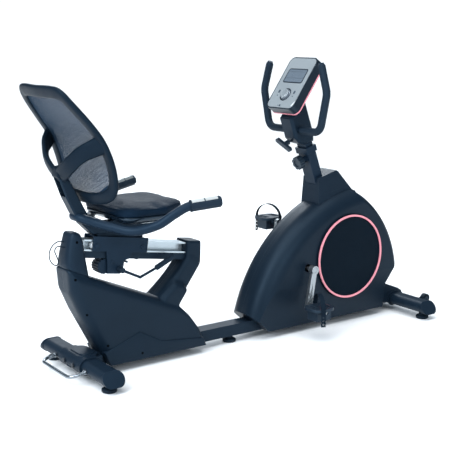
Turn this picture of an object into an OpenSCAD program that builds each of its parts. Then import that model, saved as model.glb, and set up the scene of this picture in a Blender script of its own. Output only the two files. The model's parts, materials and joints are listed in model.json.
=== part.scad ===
// Recumbent magnetic exercise bike with a mesh back.
// +X points to the front, +Y to the rider's left, +Z up. Millimetres.
// Lengths along the bike are measured from the axis of the rear stabiliser,
// and in_frame() then puts the origin under the middle of the whole bike.

/* [Base] */
// Distance between the two stabiliser axes
wheelbase = 1500; // [1490:5:1510]
// Length of the rear stabiliser tube, without its caps
rear_bar_l = 450; // [430:10:480]
// Length of the front stabiliser tube, without its caps
front_bar_l = 470; // [430:10:500]
// Height of both stabiliser axes over the floor
bar_z = 52; // [51:0.5:54]
// Diameter of a levelling foot
foot_d = 53; // [44:1:60]

/* [Drive] */
// Length of a crank, from axle to pedal spindle
crank_l = 150; // [140:1:155]
// Angle of the right crank behind straight down
crank_angle = 10; // [0:1:20]
// Radius of the flywheel
flywheel_r = 135; // [120:1:136]
// Radius of the crank pulley
pulley_r = 120; // [100:1:124]
// Radius of the flywheel's belt pulley
small_pulley_r = 24; // [20:1:30]

/* [Seat] */
// Slope of the seat rail, falling to the front
rail_tilt = 8.5; // [8:0.1:9]
// Length of the seat rail
rail_l = 444; // [436:1:446]
// Thickness of the seat cushion at its middle
cushion_h = 44; // [36:1:48]

/* [Mast] */
// Lean of the mast towards the rider
mast_lean = 20; // [19.5:0.1:20.5]
// Radius of the handlebar tube
bar_r = 11; // [10:0.5:12]
// Radius of the foam on the handlebar
foam_r = 15; // [13.5:0.5:16]
// Slope of the console's face from level
console_tilt = 55; // [54:0.5:56]

/* [Hidden] */
$fn = 64;

SIDES = [-1, 1];
// Clearances: pieces that only lie together, a round running fit, pieces that move past
lay = 0.2;
run = 0.05;
pass = 0.5;
// Middle of the whole bike along X
mid_x = 720;

// Steel tubes and flat sheet
wall = 2.5;
sheet = 5;
beam_w = 60;
beam_z0 = 30;
beam_z1 = 75;
bar_w = 78;
bar_h = 48;
oval_r = bar_h / 2;
foot_in = 17;
mid_foot_x = 647;
foot_stud_r = 5;

// Rail: middle of its length, section, and the dark tube under it
rail_x = 232;
rail_z = 438.7;
rail_w = 56;
rail_h = 40;
flange = 3;
rail_tube_h = 25;

// Carriage on the rail, along the rail (u), across it (v) and above it (w)
plate_v = 30;
roller_u = [-175, 9];
roller_r = 16.6;
lever_u = -78;
lever_w = -81;
lever_v = 60;

// Front drive
crank_x = 966;
crank_z = 268;
wheel_x = 1187.5;
wheel_z = 288;
axle_r = 8.5;
belt_y0 = 38;
belt_y1 = 54;
belt_t = 3;
fork_y = 58;
crank_y = 124;
arm_t = 14;
pedal_y0 = 150;
pedal_y1 = 244;
spindle_r = 6;

// Front housing: two large discs whose overlap gives the outline
housing_y = 95;
shell_t = 4;
disc_r = 176;
ring_r = 173;

// Mast lengths, from the flywheel's centre up along the mast
mast_s0 = 155;
mast_s1 = 470;
knob_s = 435;
bar_s = 570;
bar_d = -32.5;
wing_s = 548;
console_x = 948.5;
console_z = 996;
console_l = 236;
console_w = 166;
console_t = 40;

// Transport wheels
tow_x = 1562;
tow_y = 172;
tow_z = 66;
tow_r = 20;

// ---------- placing and drawing helpers ----------

module in_frame() { translate([-mid_x, 0, 0]) children(); }

// A flat outline drawn as (X, Z), thick from y0 to y1
module side(y0, y1) {
    translate([0, y1, 0]) rotate([90, 0, 0]) linear_extrude(height = y1 - y0) children();
}

// A bar along Y
module across(x, z, r, y0, y1) {
    translate([x, y0, z]) rotate([-90, 0, 0]) cylinder(h = y1 - y0, r = r);
}

// A bar along X
module lengthwise(y, z, r, x0, x1) {
    translate([x0, y, z]) rotate([0, 90, 0]) cylinder(h = x1 - x0, r = r);
}

module box(x0, x1, y0, y1, z0, z1) {
    translate([x0, y0, z0]) cube([x1 - x0, y1 - y0, z1 - z0]);
}

module both_sides() {
    children();
    mirror([0, 1, 0]) children();
}

// A round bar from point a to point b
module rod(a, b, r) {
    d = b - a;
    translate(a)
        rotate([0, acos(d[2] / norm(d)), atan2(d[1], d[0])])
            cylinder(h = norm(d), r = r);
}

module stadium(w, h) {
    square([w - h, h], center = true);
    for (s = SIDES) translate([s * (w - h) / 2, 0]) circle(d = h);
}

module rounded(w, h, r) {
    square([w - 2 * r, h], center = true);
    square([w, h - 2 * r], center = true);
    for (i = SIDES, j = SIDES) translate([i * (w / 2 - r), j * (h / 2 - r)]) circle(r = r);
}

module on_rail() { translate([rail_x, 0, rail_z]) rotate([0, rail_tilt, 0]) children(); }

module on_mast() { translate([wheel_x, 0, wheel_z]) rotate([0, -mast_lean, 0]) children(); }

module on_console() {
    translate([console_x, 0, console_z]) rotate([0, -console_tilt, 0]) children();
}

// ---------- outlines ----------

function unit(v) = v / norm(v);
function left_of(v) = [-v[1], v[0]];

// A counter-clockwise outline moved inwards by d
function inset(p, d) = let (n = len(p)) [for (i = [0:n - 1])
    let (u = unit(p[i] - p[(i + n - 1) % n]), v = unit(p[(i + 1) % n] - p[i]))
    p[i] + (left_of(u) + left_of(v)) * d / (1 + u * v)];

// Takes the long edges off a plate drawn by side(-y, y): c is the width taken off.
// The outline is convex and counter-clockwise. Neighbouring bevels differ a little in width.
module bevels(p, y, c) {
    n = len(p);
    for (i = [0:n - 1]) {
        a = p[i];
        d = p[(i + 1) % n] - a;
        w = c + 0.4 * (i == n - 1 ? 2 : i % 2);
        translate([a[0], 0, a[1]]) rotate([0, -atan2(d[1], d[0]), 0])
            translate([-5, 0, 0]) rotate([90, 0, 90])
                linear_extrude(height = norm(d) + 10) for (s = SIDES)
                    polygon([[s * (y - w - 1), -1], [s * (y + 1), -1], [s * (y + 1), w + 1]]);
    }
}

// A convex plate with bevelled edges
module soft_plate(p, y, c) {
    difference() {
        side(-y, y) polygon(p);
        bevels(p, y, c);
    }
}

// The room inside such a plate, for walls t thick
module room(p, y, c, t) {
    side(-(y - t), y - t) polygon(inset(p, c + 1.5));
    side(-(y - c - 1), y - c - 1) polygon(inset(p, t));
}

// Points on a smooth line through p: n steps between two points
function spline(a, b, c, d, t) = 0.5 * (2 * b + (c - a) * t
    + (2 * a - 5 * b + 4 * c - d) * t * t + (3 * b - a - 3 * c + d) * t * t * t);
function at(p, i, closed) = closed ? p[(i + len(p)) % len(p)] : p[max(0, min(len(p) - 1, i))];
function smooth(p, n, closed = false) = [
    for (i = [0:len(p) - (closed ? 1 : 2)], j = [0:n - 1])
        spline(at(p, i - 1, closed), at(p, i, closed), at(p, i + 1, closed),
               at(p, i + 2, closed), j / n),
    if (!closed) p[len(p) - 1]];

// A bar of oval section swept along points: ref is never along the line
module sweep(p, ra, rb, ref, closed = false, sides = 12) {
    n = len(p);
    rings = [for (i = [0:n - 1]) let (
        t = unit(at(p, i + 1, closed) - at(p, i - 1, closed)),
        a = unit(cross(t, ref)),
        b = cross(t, a))
        for (k = [0:sides - 1]) p[i] + a * ra * cos(360 * k / sides) + b * rb * sin(360 * k / sides)];
    last = closed ? n - 1 : n - 2;
    walls = [for (i = [0:last], k = [0:sides - 1]) let (
        j = (i + 1) % n,
        m = (k + 1) % sides)
        [i * sides + k, i * sides + m, j * sides + m, j * sides + k]];
    tris = [for (q = walls) each [[q[0], q[2], q[1]], [q[0], q[3], q[2]]]];
    ends = closed ? [] : [[for (k = [0:sides - 1]) k],
        [for (k = [sides - 1:-1:0]) (n - 1) * sides + k]];
    polyhedron(points = rings, faces = concat(tris, ends));
}

// The same line as a round pipe of outer radius r and inner radius r2
module pipe(p, r, r2, ref, sides) {
    n = len(p);
    m = n * sides;
    rings = [for (q = [r, r2], i = [0:n - 1]) let (
        t = unit(at(p, i + 1, false) - at(p, i - 1, false)),
        a = unit(cross(t, ref)),
        b = cross(t, a))
        for (k = [0:sides - 1]) p[i] + q * (a * cos(360 * k / sides) + b * sin(360 * k / sides))];
    quads = [for (i = [0:n - 2], k = [0:sides - 1]) let (j = (k + 1) % sides)
        [i * sides + k, i * sides + j, (i + 1) * sides + j, (i + 1) * sides + k]];
    e = (n - 1) * sides;
    polyhedron(points = rings, faces = concat(
        [for (q = quads) each [[q[0], q[2], q[1]], [q[0], q[3], q[2]]]],
        [for (q = quads) each [[m + q[0], m + q[1], m + q[2]], [m + q[0], m + q[2], m + q[3]]]],
        [for (k = [0:sides - 1]) let (j = (k + 1) % sides)
            each [[k, j, m + j], [k, m + j, m + k],
                [e + j, e + k, m + e + k], [e + j, m + e + k, m + e + j]]]));
}

// A flat path with its corners rounded, n steps to a corner
function corner_turn(p, i) = atan2(cross(p[i] - p[i - 1], p[i + 1] - p[i]),
    (p[i] - p[i - 1]) * (p[i + 1] - p[i]));
function rounded_path(p, radii, n) = [for (i = [0:len(p) - 1]) each
    (i == 0 || i == len(p) - 1) ? [p[i]] : let (
        u = unit(p[i] - p[i - 1]),
        t = corner_turn(p, i),
        s = t > 0 ? 1 : -1,
        c = p[i] - u * radii[i] * tan(abs(t) / 2) + left_of(u) * s * radii[i],
        from = atan2(u[1], u[0]) - s * 90)
        [for (k = [0:n]) c + radii[i] * [cos(from + t * k / n), sin(from + t * k / n)]]];

// A bent round bar in the plane of X and Y: straight runs and true arcs
module bent_rod(p, radii, r) {
    n = len(p);
    cut = [for (i = [0:n - 1]) i == 0 || i == n - 1 ? 0 : radii[i] * tan(abs(corner_turn(p, i)) / 2)];
    for (i = [0:n - 2]) {
        u = unit(p[i + 1] - p[i]);
        a = p[i] + u * cut[i];
        b = p[i + 1] - u * cut[i + 1];
        rod([a[0], a[1], 0], [b[0], b[1], 0], r);
    }
    for (i = [1:n - 2]) {
        u = unit(p[i] - p[i - 1]);
        v = unit(p[i + 1] - p[i]);
        bend = atan2(cross(u, v), u * v);
        s = bend > 0 ? 1 : -1;
        c = p[i] - u * cut[i] + left_of(u) * s * radii[i];
        from = atan2(u[1], u[0]) - s * 90;
        translate([c[0], c[1], 0]) rotate([0, 0, s > 0 ? from : from + bend])
            rotate_extrude(angle = abs(bend)) translate([radii[i], 0]) circle(r = r);
    }
}

// ---------- base ----------

module oval_bar(l) {
    side(-l / 2, l / 2) difference() {
        stadium(bar_w, bar_h);
        stadium(bar_w - 2 * wall, bar_h - 2 * wall);
    }
}

foot_y_rear = rear_bar_l / 2 - foot_in;
foot_y_front = front_bar_l / 2 - foot_in;
bolt_y = 34;

module foot_holes(x, y) {
    for (s = SIDES) translate([x, s * y, 0]) cylinder(h = bar_z - 10, r = foot_stud_r + run);
}

module bar_bolt_holes(x) {
    for (s = SIDES) lengthwise(s * bolt_y, bar_z, 5.2, x - 60, x + 60);
}

// The saddle block that sits on one stabiliser
module saddle(x, s) {
    difference() {
        box(min(x, x + s * 60), max(x, x + s * 60), -52, 52, bar_z - 16, bar_z + 20);
        translate([x, 0, bar_z]) side(-60, 60) stadium(bar_w + 2 * lay, bar_h + 2 * lay);
        bar_bolt_holes(x);
    }
}

upright = [[78, beam_z1], [118, beam_z1], [10, 428], [-1, 440], [-1, 504], [-38, 504], [-38, 440]];
strut = [[215, beam_z1], [262, beam_z1], [300, 205], [466, 345], [466, 384], [434, 384], [434, 362], [268, 222]];

// The long beam, its saddles and the housing for the crank axle
module long_beam() {
    difference() {
        union() {
            box(60, wheelbase - 60, -beam_w / 2, beam_w / 2, beam_z0, beam_z1);
            saddle(0, 1);
            saddle(wheelbase, -1);
            box(crank_x - 22, crank_x + 22, -20, 20, beam_z1, crank_z);
            across(crank_x, crank_z, 24, -34, 34);
        }
        box(61, wheelbase - 61, -beam_w / 2 + wall, beam_w / 2 - wall,
            beam_z0 + wall, beam_z1 - wall);
        across(crank_x, crank_z, axle_r + run, -40, 40);
        translate([mid_foot_x, 0, 0]) cylinder(h = 40, r = foot_stud_r + run);
    }
}

// Upright, strut and the tube under the rail, with the stop at the rail's front end
module rear_frame() {
    difference() {
        union() {
            side(-20, 20) polygon(upright);
            side(-20, 20) polygon(strut);
        }
        side(-20 + wall, 20 - wall) polygon(inset(upright, wall));
        side(-20 + wall, 20 - wall) polygon(inset(strut, wall));
        rail_under_box(0);
        lengthwise(4, 486, 2.4, -60, -30);
        lengthwise(-6, 468, 2.4, -60, -30);
    }
    difference() {
        rail_under_box(0);
        on_rail() translate([-300, -25 + wall, -rail_h / 2 - rail_tube_h + wall])
            cube([600, 50 - 2 * wall, rail_tube_h - 2 * wall]);
    }
    on_rail() translate([rail_l / 2 + lay, -27, -rail_h / 2 - 14]) cube([6, 54, rail_h + 12]);
}

// Everything welded to the long beam
module main_frame() {
    in_frame() color("#20242a") {
        long_beam();
        rear_frame();
    }
}

module rail_under_box(grow) {
    intersection() {
        on_rail() translate([-300, -25 - grow, -rail_h / 2 - rail_tube_h - grow])
            cube([600, 50 + 2 * grow, rail_tube_h + grow - lay]);
        box(-1 - grow, 458 + grow, -80, 80, 300, 600);
    }
}

module rear_stabiliser() {
    in_frame() color("#23272d") difference() {
        translate([0, 0, bar_z]) oval_bar(rear_bar_l);
        foot_holes(0, foot_y_rear);
        bar_bolt_holes(0);
        at_handle() for (s = SIDES) lengthwise(s * 114, 0, 6 + lay, -40, 12);
    }
}

// One cheek beside a transport wheel
module wheel_cheek(y) {
    difference() {
        side(y - 2, y + 2) union() {
            translate([tow_x, tow_z]) circle(r = 11);
            polygon([[wheelbase + 36, bar_z], [wheelbase + 50, bar_z - 6], [tow_x + 8, tow_z - 9],
                [tow_x - 7, tow_z + 9], [wheelbase + 36, bar_z + 14]]);
        }
        translate([wheelbase, 0, bar_z]) side(-400, 400) stadium(bar_w - 1, bar_h - 1);
    }
}

module front_stabiliser() {
    in_frame() color("#23272d") {
        difference() {
            translate([wheelbase, 0, bar_z]) oval_bar(front_bar_l);
            foot_holes(wheelbase, foot_y_front);
            bar_bolt_holes(wheelbase);
        }
        both_sides() {
            for (s = SIDES) wheel_cheek(tow_y + s * 13);
            across(tow_x, tow_z, 4, tow_y - 17, tow_y + 17);
        }
    }
}

// An end cap: a plug inside the tube and a slanted oval nose
module end_cap(x, l) {
    difference() {
        union() {
            translate([x, 0, bar_z]) side(l / 2 - 9, l / 2 + 2)
                stadium(bar_w - 2 * wall - lay, bar_h - 2 * wall - lay);
            translate([x, 0, bar_z]) side(l / 2 + lay, l / 2 + 34) stadium(bar_w + 4, bar_h + 4);
        }
        translate([x, l / 2 + 34, bar_z - bar_h / 2 - 2]) rotate([32, 0, 0])
            translate([-60, 0, -40]) cube([120, 60, 120]);
    }
}

module end_caps() {
    in_frame() color("#2b3037") both_sides() {
        end_cap(0, rear_bar_l);
        end_cap(wheelbase, front_bar_l);
    }
}

rear_lid_z = bar_z + 33;

module rear_cover() {
    color("#262b32") {
        difference() {
            union() {
                translate([0, 0, bar_z]) side(-80, 80) stadium(bar_w + 14, bar_h + 14);
                translate([8, 0, bar_z]) linear_extrude(height = rear_lid_z - bar_z)
                    rounded(74, 124, 30);
            }
            translate([0, 0, bar_z]) side(-90, 90) stadium(bar_w + 2 * lay, bar_h + 2 * lay);
            box(20, 70, -52 - lay, 52 + lay, 0, bar_z + 21);
            bar_bolt_holes(0);
            box(-60, 60, -24, 24, 0, bar_z - 12);
        }
        translate([8, 0, rear_lid_z]) linear_extrude(height = 4) rounded(58, 104, 24);
    }
}

front_cover = [[1414, 36], [1540, 30], [1548, 44], [1548, 76], [1526, 90], [1446, 122], [1414, 128]];

module front_bar_cover() {
    color("#262b32") difference() {
        union() {
            soft_plate(front_cover, 54, 8);
            translate([wheelbase, 0, bar_z]) side(-58, 58) stadium(bar_w + 14, bar_h + 14);
        }
        room(front_cover, 54, 8, 3);
        translate([wheelbase, 0, bar_z]) side(-90, 90) stadium(bar_w + 2 * lay, bar_h + 2 * lay);
        box(1380, 1480, -52 - lay, 52 + lay, 0, bar_z + 20 + lay);
        box(1380, wheelbase, -54, 54, 0, beam_z0 + 4);
        box(1380, wheelbase - 58, -beam_w / 2 - lay, beam_w / 2 + lay, 0, beam_z1 + lay);
        bar_bolt_holes(wheelbase);
    }
}

module stabiliser_covers() {
    in_frame() {
        rear_cover();
        front_bar_cover();
    }
}

// A round foot on a threaded stud
module foot(x, y) {
    in_frame() color("#1b1e22") translate([x, y, 0]) {
        rotate_extrude() polygon([[0, 0], [foot_d / 2 - 2, 0], [foot_d / 2, 3], [foot_d / 2, 10],
            [foot_d / 2 - 5, 14], [14, 15], [14, 23], [foot_stud_r, 23], [foot_stud_r, 40], [0, 40]]);
    }
}

module foot_front_right() { foot(wheelbase, -foot_y_front); }
module foot_front_left() { foot(wheelbase, foot_y_front); }
module foot_rear_right() { foot(0, -foot_y_rear); }
module foot_rear_left() { foot(0, foot_y_rear); }
module foot_middle() { foot(mid_foot_x, 0); }

module at_handle() { translate([-22, 0, bar_z]) rotate([0, -10, 0]) children(); }

// Chrome carrying handle: a U behind the rear stabiliser
module carry_handle() {
    in_frame() color("#c9ced4") at_handle() {
        bent_rod([[0, -114], [-78, -114], [-78, 114], [0, 114]], [0, 30, 30, 0], 6);
        for (s = SIDES) lengthwise(s * 114, 0, 9, -24, -19);
    }
}

module frame_bolts() {
    in_frame() color("#8d9299") {
        for (x = [0, wheelbase], s = SIDES) {
            out = x == 0 ? -1 : 1;
            lengthwise(s * bolt_y, bar_z, 5, x - 52, x + 52);
            lengthwise(s * bolt_y, bar_z, 8, x + (out < 0 ? -52 : 48.2), x + (out < 0 ? -46.2 : 54));
        }
        on_rail() for (u = [-150, 0, 150], s = SIDES)
            translate([u, s * 16, -rail_h / 2 - rail_tube_h - 3]) cylinder(h = 3 - lay, r = 7, $fn = 6);
    }
}

// ---------- rear shells ----------

body_outline = [[84, 32], [492, 32], [466, 100], [420, 163], [368, 213], [-62, 396], [-55, 310], [-24, 238]];
arm_low = [[259, 255], [318, 190], [366, 208], [418, 290], [380, 347]];
arm_high = [[345, 320], [398, 274], [478, 329], [489, 346], [452, 402], [424, 381]];
arm_head = [[420, 350], [489, 346], [492, 430], [430, 438]];
skirt_rear = [[84, 32], [400, 32], [205, 136], [62, 84]];
skirt_front = [[250, 32], [492, 32], [478, 66], [300, 84]];
column_outline = [[26, 360.5], [12, 484], [2, 516], [-38, 521], [-58, 432], [-62, 398]];

module rear_shell(s) {
    color("#1d222a") intersection() {
        difference() {
            union() {
                soft_plate(body_outline, 68, 18);
                soft_plate(arm_low, 44, 10);
                soft_plate(arm_high, 44, 10);
                soft_plate(arm_head, 40, 8);
                soft_plate(skirt_rear, 71, 6);
                soft_plate(skirt_front, 70.5, 6);
            }
            room(body_outline, 68, 18, 3);
            room(arm_low, 44, 10, 3);
            room(arm_high, 44, 10, 3);
            room(arm_head, 40, 8, 3);
            box(40, 520, -beam_w / 2 - pass, beam_w / 2 + pass, 20, beam_z1 + pass);
            box(0, 110, -53, 53, 20, bar_z + 21);
            translate([8, 0, 0]) linear_extrude(height = rear_lid_z + 5) rounded(75, 125, 30.5);
            translate([0, 0, bar_z]) side(-90, 90) stadium(bar_w + 16, bar_h + 16);
            rail_under_box(1);
            on_rail() translate([-260, -rail_w / 2 - 1, -rail_h / 2 - 2])
                cube([510, rail_w + 2, rail_h + 3]);
            side(-20 - lay, 20 + lay) polygon(inset(upright, -lay));
            side(-20 - lay, 20 + lay) polygon(inset(strut, -lay));
        }
        box(-200, 600, min(0, s * 100), max(0, s * 100), 0, 600);
    }
}

module rear_shell_right() { in_frame() rear_shell(-1); }
module rear_shell_left() { in_frame() rear_shell(1); }

module column_cover() {
    in_frame() color("#232930") difference() {
        soft_plate(column_outline, 34, 9);
        room(column_outline, 34, 9, 3);
        rail_under_box(1);
        on_rail() translate([-260, -rail_w / 2 - 1, -rail_h / 2 - 2])
            cube([510, rail_w + 2, rail_h + 3]);
        difference() {
            box(-80, 0, -17, 17, 436, 504);
            side(-18, 18) polygon(inset(column_outline, 1.2));
        }
        side(-20 - lay, 20 + lay) polygon(inset(upright, -lay));
        lengthwise(4, 486, 2.4, -60, -30);
        lengthwise(-6, 468, 2.4, -60, -30);
    }
}

// The slack of the pulse lead, hanging behind the column
lead = [[-34, 4, 486], [-48, 4, 486], [-66, 6, 489], [-86, 9, 478], [-98, 12, 456], [-98, 14, 430],
    [-86, 15, 410], [-72, 14, 404], [-68, 10, 418], [-76, 5, 438], [-84, 1, 456], [-82, -3, 470],
    [-70, -5, 474], [-50, -6, 468], [-36, -6, 468]];

module pulse_lead() { in_frame() color("#15181c") sweep(smooth(lead, 5), 2, 2, [0, 1, 0], false, 8); }

// ---------- rail ----------

module seat_rail() {
    in_frame() color("#c3c8ce") on_rail() rotate([90, 0, 90])
        linear_extrude(height = rail_l, center = true) {
            square([4, rail_h], center = true);
            for (s = SIDES) translate([0, s * (rail_h - flange) / 2])
                square([rail_w, flange], center = true);
            for (i = SIDES, j = SIDES) translate([i * (rail_w / 2 - 1), j * (rail_h / 2 - 4)])
                square([2, 3], center = true);
        }
}

// ---------- front housing ----------

// One side of a disc about the Y axis with a rounded rim, from y0 out to y
module round_rim(x, z, r, y, c, y0) {
    translate([x, 0, z]) rotate([-90, 0, 0]) rotate_extrude($fn = 180) {
        translate([0, y0]) square([r - c, y - y0]);
        translate([0, y0]) square([r, y - c - y0]);
        translate([r - c, y - c]) intersection() {
            circle(r = c);
            square([c, c]);
        }
    }
}

// The left half of the housing's solid, g inside its outer face
module housing_solid(g, y0) {
    lower = 32 + g;
    intersection() {
        round_rim(1320, -63, 637 - g, housing_y - g, 75 - g, y0);
        round_rim(1025, 150, 450 - g, housing_y + 2 - g, 34 - g, y0 - 2);
        side(y0 - 3, 110) polygon([[500, 700], [672 + g, 190], [698 + g, 112], [786 + g, lower],
            [1404 - g, lower], [1404 - g, 136], [1500 - g, 280], [1500, 700]]);
        translate([400, 0, 0]) rotate([90, 0, 90]) linear_extrude(height = 1400)
            polygon([[y0 - 4, 0], [74 - g, 0], [housing_y + 1 - g, 210], [housing_y + 1 - g, 720],
                [y0 - 4, 720]]);
    }
}

module housing() {
    color("#1b2129") difference() {
        housing_solid(0, 0);
        housing_solid(shell_t, -1);
        across(wheel_x, wheel_z, disc_r + lay, 70, 120);
        across(crank_x, crank_z, 16, 70, 120);
        box(600, 1500, -1, beam_w / 2 + pass, 20, beam_z1 + pass);
        on_mast() translate([-21.5, -1, 0]) cube([43, 31.5, 600]);
    }
}

module housing_right() { in_frame() mirror([0, 1, 0]) housing(); }
module housing_left() { in_frame() housing(); }

// Round cover over the opening in the housing's cheek
module side_discs() {
    in_frame() color("#12161b") both_sides() difference() {
        across(wheel_x, wheel_z, disc_r, 78, 101);
        across(wheel_x, wheel_z, disc_r - 5, 70, 96);
        across(wheel_x, wheel_z, 158, 99, 110);
        difference() {
            across(wheel_x, wheel_z, ring_r, 99.4, 110);
            across(wheel_x, wheel_z, ring_r - 8, 90, 120);
        }
    }
}

module trim_rings() {
    in_frame() color("#e8788c") both_sides() difference() {
        across(wheel_x, wheel_z, ring_r - lay, 99.4 + lay, 105);
        across(wheel_x, wheel_z, ring_r - 8 + lay, 90, 120);
    }
}

// ---------- drive inside the housing ----------

fork = [[1118, beam_z1 + 6], [1262, beam_z1 + 6], [1262, 330], [1330, 396], [1326, 420], [1290, 424],
    [1214, 440], [1170, 470], [1100, 452], [1110, 380]];
magnet_x = 1304;
magnet_z = 404;

module fork_plates() {
    in_frame() color("#3a4048") {
        both_sides() difference() {
            side(fork_y, fork_y + sheet) polygon(fork);
            across(wheel_x, wheel_z, 8.2, 0, 100);
            across(magnet_x, magnet_z, 5.2, 0, 100);
        }
        box(1118, 1262, -fork_y - sheet, fork_y + sheet, beam_z1 + lay, beam_z1 + 6);
        across(wheel_x, wheel_z, 8, -fork_y - sheet - 8, fork_y + sheet + 8);
        both_sides() difference() {
            across(wheel_x, wheel_z, 13, fork_y + sheet + lay, fork_y + sheet + 8, $fn = 6);
            across(wheel_x, wheel_z, 8, 0, 100);
        }
        across(magnet_x, magnet_z, 5, -fork_y - sheet, fork_y + sheet);
        on_mast() translate([0, 0, mast_s0 - 3 - lay]) cube([46, 2 * fork_y, 6], center = true);
    }
}

module flywheel() {
    in_frame() color("#5b6068") difference() {
        union() {
            across(wheel_x, wheel_z, flywheel_r, -22, 12);
            across(wheel_x, wheel_z, 30, -28, belt_y0 - 4);
            across(wheel_x, wheel_z, small_pulley_r + 3, belt_y0 - 4, belt_y0 - 1);
            across(wheel_x, wheel_z, small_pulley_r, belt_y0 - 2, belt_y1);
        }
        across(wheel_x, wheel_z, 8 + run, -40, 70);
        difference() {
            across(wheel_x, wheel_z, flywheel_r - 28, 2, 20);
            across(wheel_x, wheel_z, 30, -30, 60);
        }
        difference() {
            across(wheel_x, wheel_z, flywheel_r - 28, -40, -12);
            across(wheel_x, wheel_z, 30, -30, 60);
        }
    }
}

// Belt outline at distance g outside both pulleys
module belt_outline(g) {
    d = [wheel_x - crank_x, wheel_z - crank_z];
    dir = atan2(d[1], d[0]);
    open = acos((pulley_r - small_pulley_r) / norm(d));
    big = [crank_x, crank_z];
    small = [wheel_x, wheel_z];
    function tip(c, r, a) = c + (r + g) * [cos(a), sin(a)];
    translate(big) circle(r = pulley_r + g, $fn = 128);
    translate(small) circle(r = small_pulley_r + g);
    polygon([tip(big, pulley_r, dir + open), tip(big, pulley_r, dir - open),
        tip(small, small_pulley_r, dir - open), tip(small, small_pulley_r, dir + open)]);
}

module drive_belt() {
    in_frame() color("#111316") side(belt_y0 + 1, belt_y1 - 1) difference() {
        belt_outline(belt_t + 0.3);
        belt_outline(0.3);
    }
}

// A curved arm with magnets, hung in front of the flywheel's rim
module magnet_bracket() {
    in_frame() color("#6a7078") {
        difference() {
            union() {
                side(-20, 10) difference() {
                    intersection() {
                        translate([wheel_x, wheel_z]) circle(r = flywheel_r + 12, $fn = 128);
                        polygon([[wheel_x, wheel_z], [1500, 590], [1500, 180]]);
                    }
                    translate([wheel_x, wheel_z]) circle(r = flywheel_r + 7, $fn = 128);
                }
                side(-20, 10) polygon([[1287, 391], [1299, 381], [1311, 397], [1297, 411]]);
                across(magnet_x, magnet_z, 10, -20, 10);
            }
            across(magnet_x, magnet_z, 5 + run, -40, 40);
        }
        for (a = [-10, 4, 18, 32])
            translate([wheel_x, -5, wheel_z]) rotate([0, -a, 0])
                translate([flywheel_r + 3, -9, -8]) cube([5, 18, 16]);
    }
}

// ---------- cranks and pedals ----------

module crank_axle() {
    in_frame() color("#8a9098") {
        across(crank_x, crank_z, axle_r, -crank_y + 12, crank_y - 12);
        translate([crank_x, 0, crank_z]) rotate([0, crank_angle, 0])
            translate([-6, -crank_y - 10, -6]) cube([12, 2 * crank_y + 20, 12]);
        color("#2a2e34") difference() {
            union() {
                across(crank_x, crank_z, pulley_r, belt_y0, belt_y1);
                across(crank_x, crank_z, pulley_r + 3, belt_y1 - 0.8, belt_y1 + 2);
                across(crank_x, crank_z, 24, belt_y0 - 3, belt_y1 + 8);
            }
            across(crank_x, crank_z, axle_r, 0, 100);
            for (k = [0:5]) across(crank_x + 74 * cos(60 * k), crank_z + 74 * sin(60 * k), 26, 0, 100);
            for (y = [belt_y0 - 1, belt_y1 - 5]) difference() {
                across(crank_x, crank_z, pulley_r - 10, y, y + 6);
                across(crank_x, crank_z, 30, y - 1, y + 7);
            }
        }
    }
}

// The pedal spindle lies crank_l from the axle
pedal_dx = -crank_l * sin(crank_angle);
pedal_dz = -crank_l * cos(crank_angle);

// The right crank, drawn straight down and then turned; the left one is opposite
module crank() {
    translate([crank_x, 0, crank_z]) rotate([0, crank_angle, 0]) {
        difference() {
            union() {
                across(0, 0, 17, -crank_y - arm_t - 4, -crank_y + 8);
                across(0, -crank_l, 14, -crank_y - arm_t, -crank_y);
                side(-crank_y - arm_t, -crank_y)
                    polygon([[-12, 0], [-13, -crank_l], [13, -crank_l], [12, 0]]);
            }
            translate([-6.1, -crank_y - 12, -6.1]) cube([12.2, 40, 12.2]);
            across(0, 0, 10, -crank_y - 40, -crank_y - arm_t + 2);
            side(-crank_y - arm_t - 1, -crank_y - arm_t + 6)
                polygon([[0, -48], [-7, -crank_l + 18], [7, -crank_l + 18]]);
        }
        across(0, 0, 9.8, -crank_y - arm_t - 2, -crank_y - arm_t + 1.8);
        across(0, -crank_l, 9, -pedal_y0 + 3, -crank_y - arm_t);
        across(0, -crank_l, spindle_r, -pedal_y1 + 4, -pedal_y0 + 3);
    }
}

module opposite_side() {
    translate([crank_x, 0, crank_z]) rotate([0, 180, 0]) mirror([0, 1, 0])
        translate([-crank_x, 0, -crank_z]) children();
}

module cranks() {
    in_frame() color("#b9bec5") {
        crank();
        opposite_side() crank();
    }
}

// One pedal about its own spindle, on the right side of the bike
module pedal_body() {
    mid = (pedal_y0 + pedal_y1) / 2;
    width = pedal_y1 - pedal_y0;
    difference() {
        union() {
            translate([0, -mid, 6]) linear_extrude(height = 11) rounded(104, width, 32);
            across(0, 0, 14, -pedal_y1, -pedal_y0);
            translate([-34, -mid - 30, -34]) cube([68, 60, 42]);
            translate([0, -mid, 0]) rotate([0, 0, 66.5]) box(-54.4, 54.4, -8, 8, 7, 16);
            for (x = [-36, -18, 18, 36]) translate([x, -mid, 17]) cube([4, width - 40, 4], center = true);
        }
        across(0, 0, spindle_r + run, -pedal_y1 - 1, -pedal_y0 + 1);
        for (x = [-27, 27]) translate([x, -mid, 0]) cube([10, width - 44, 60], center = true);
        translate([-30, -mid - 26, -38]) cube([60, 52, 16]);
    }
}

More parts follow.
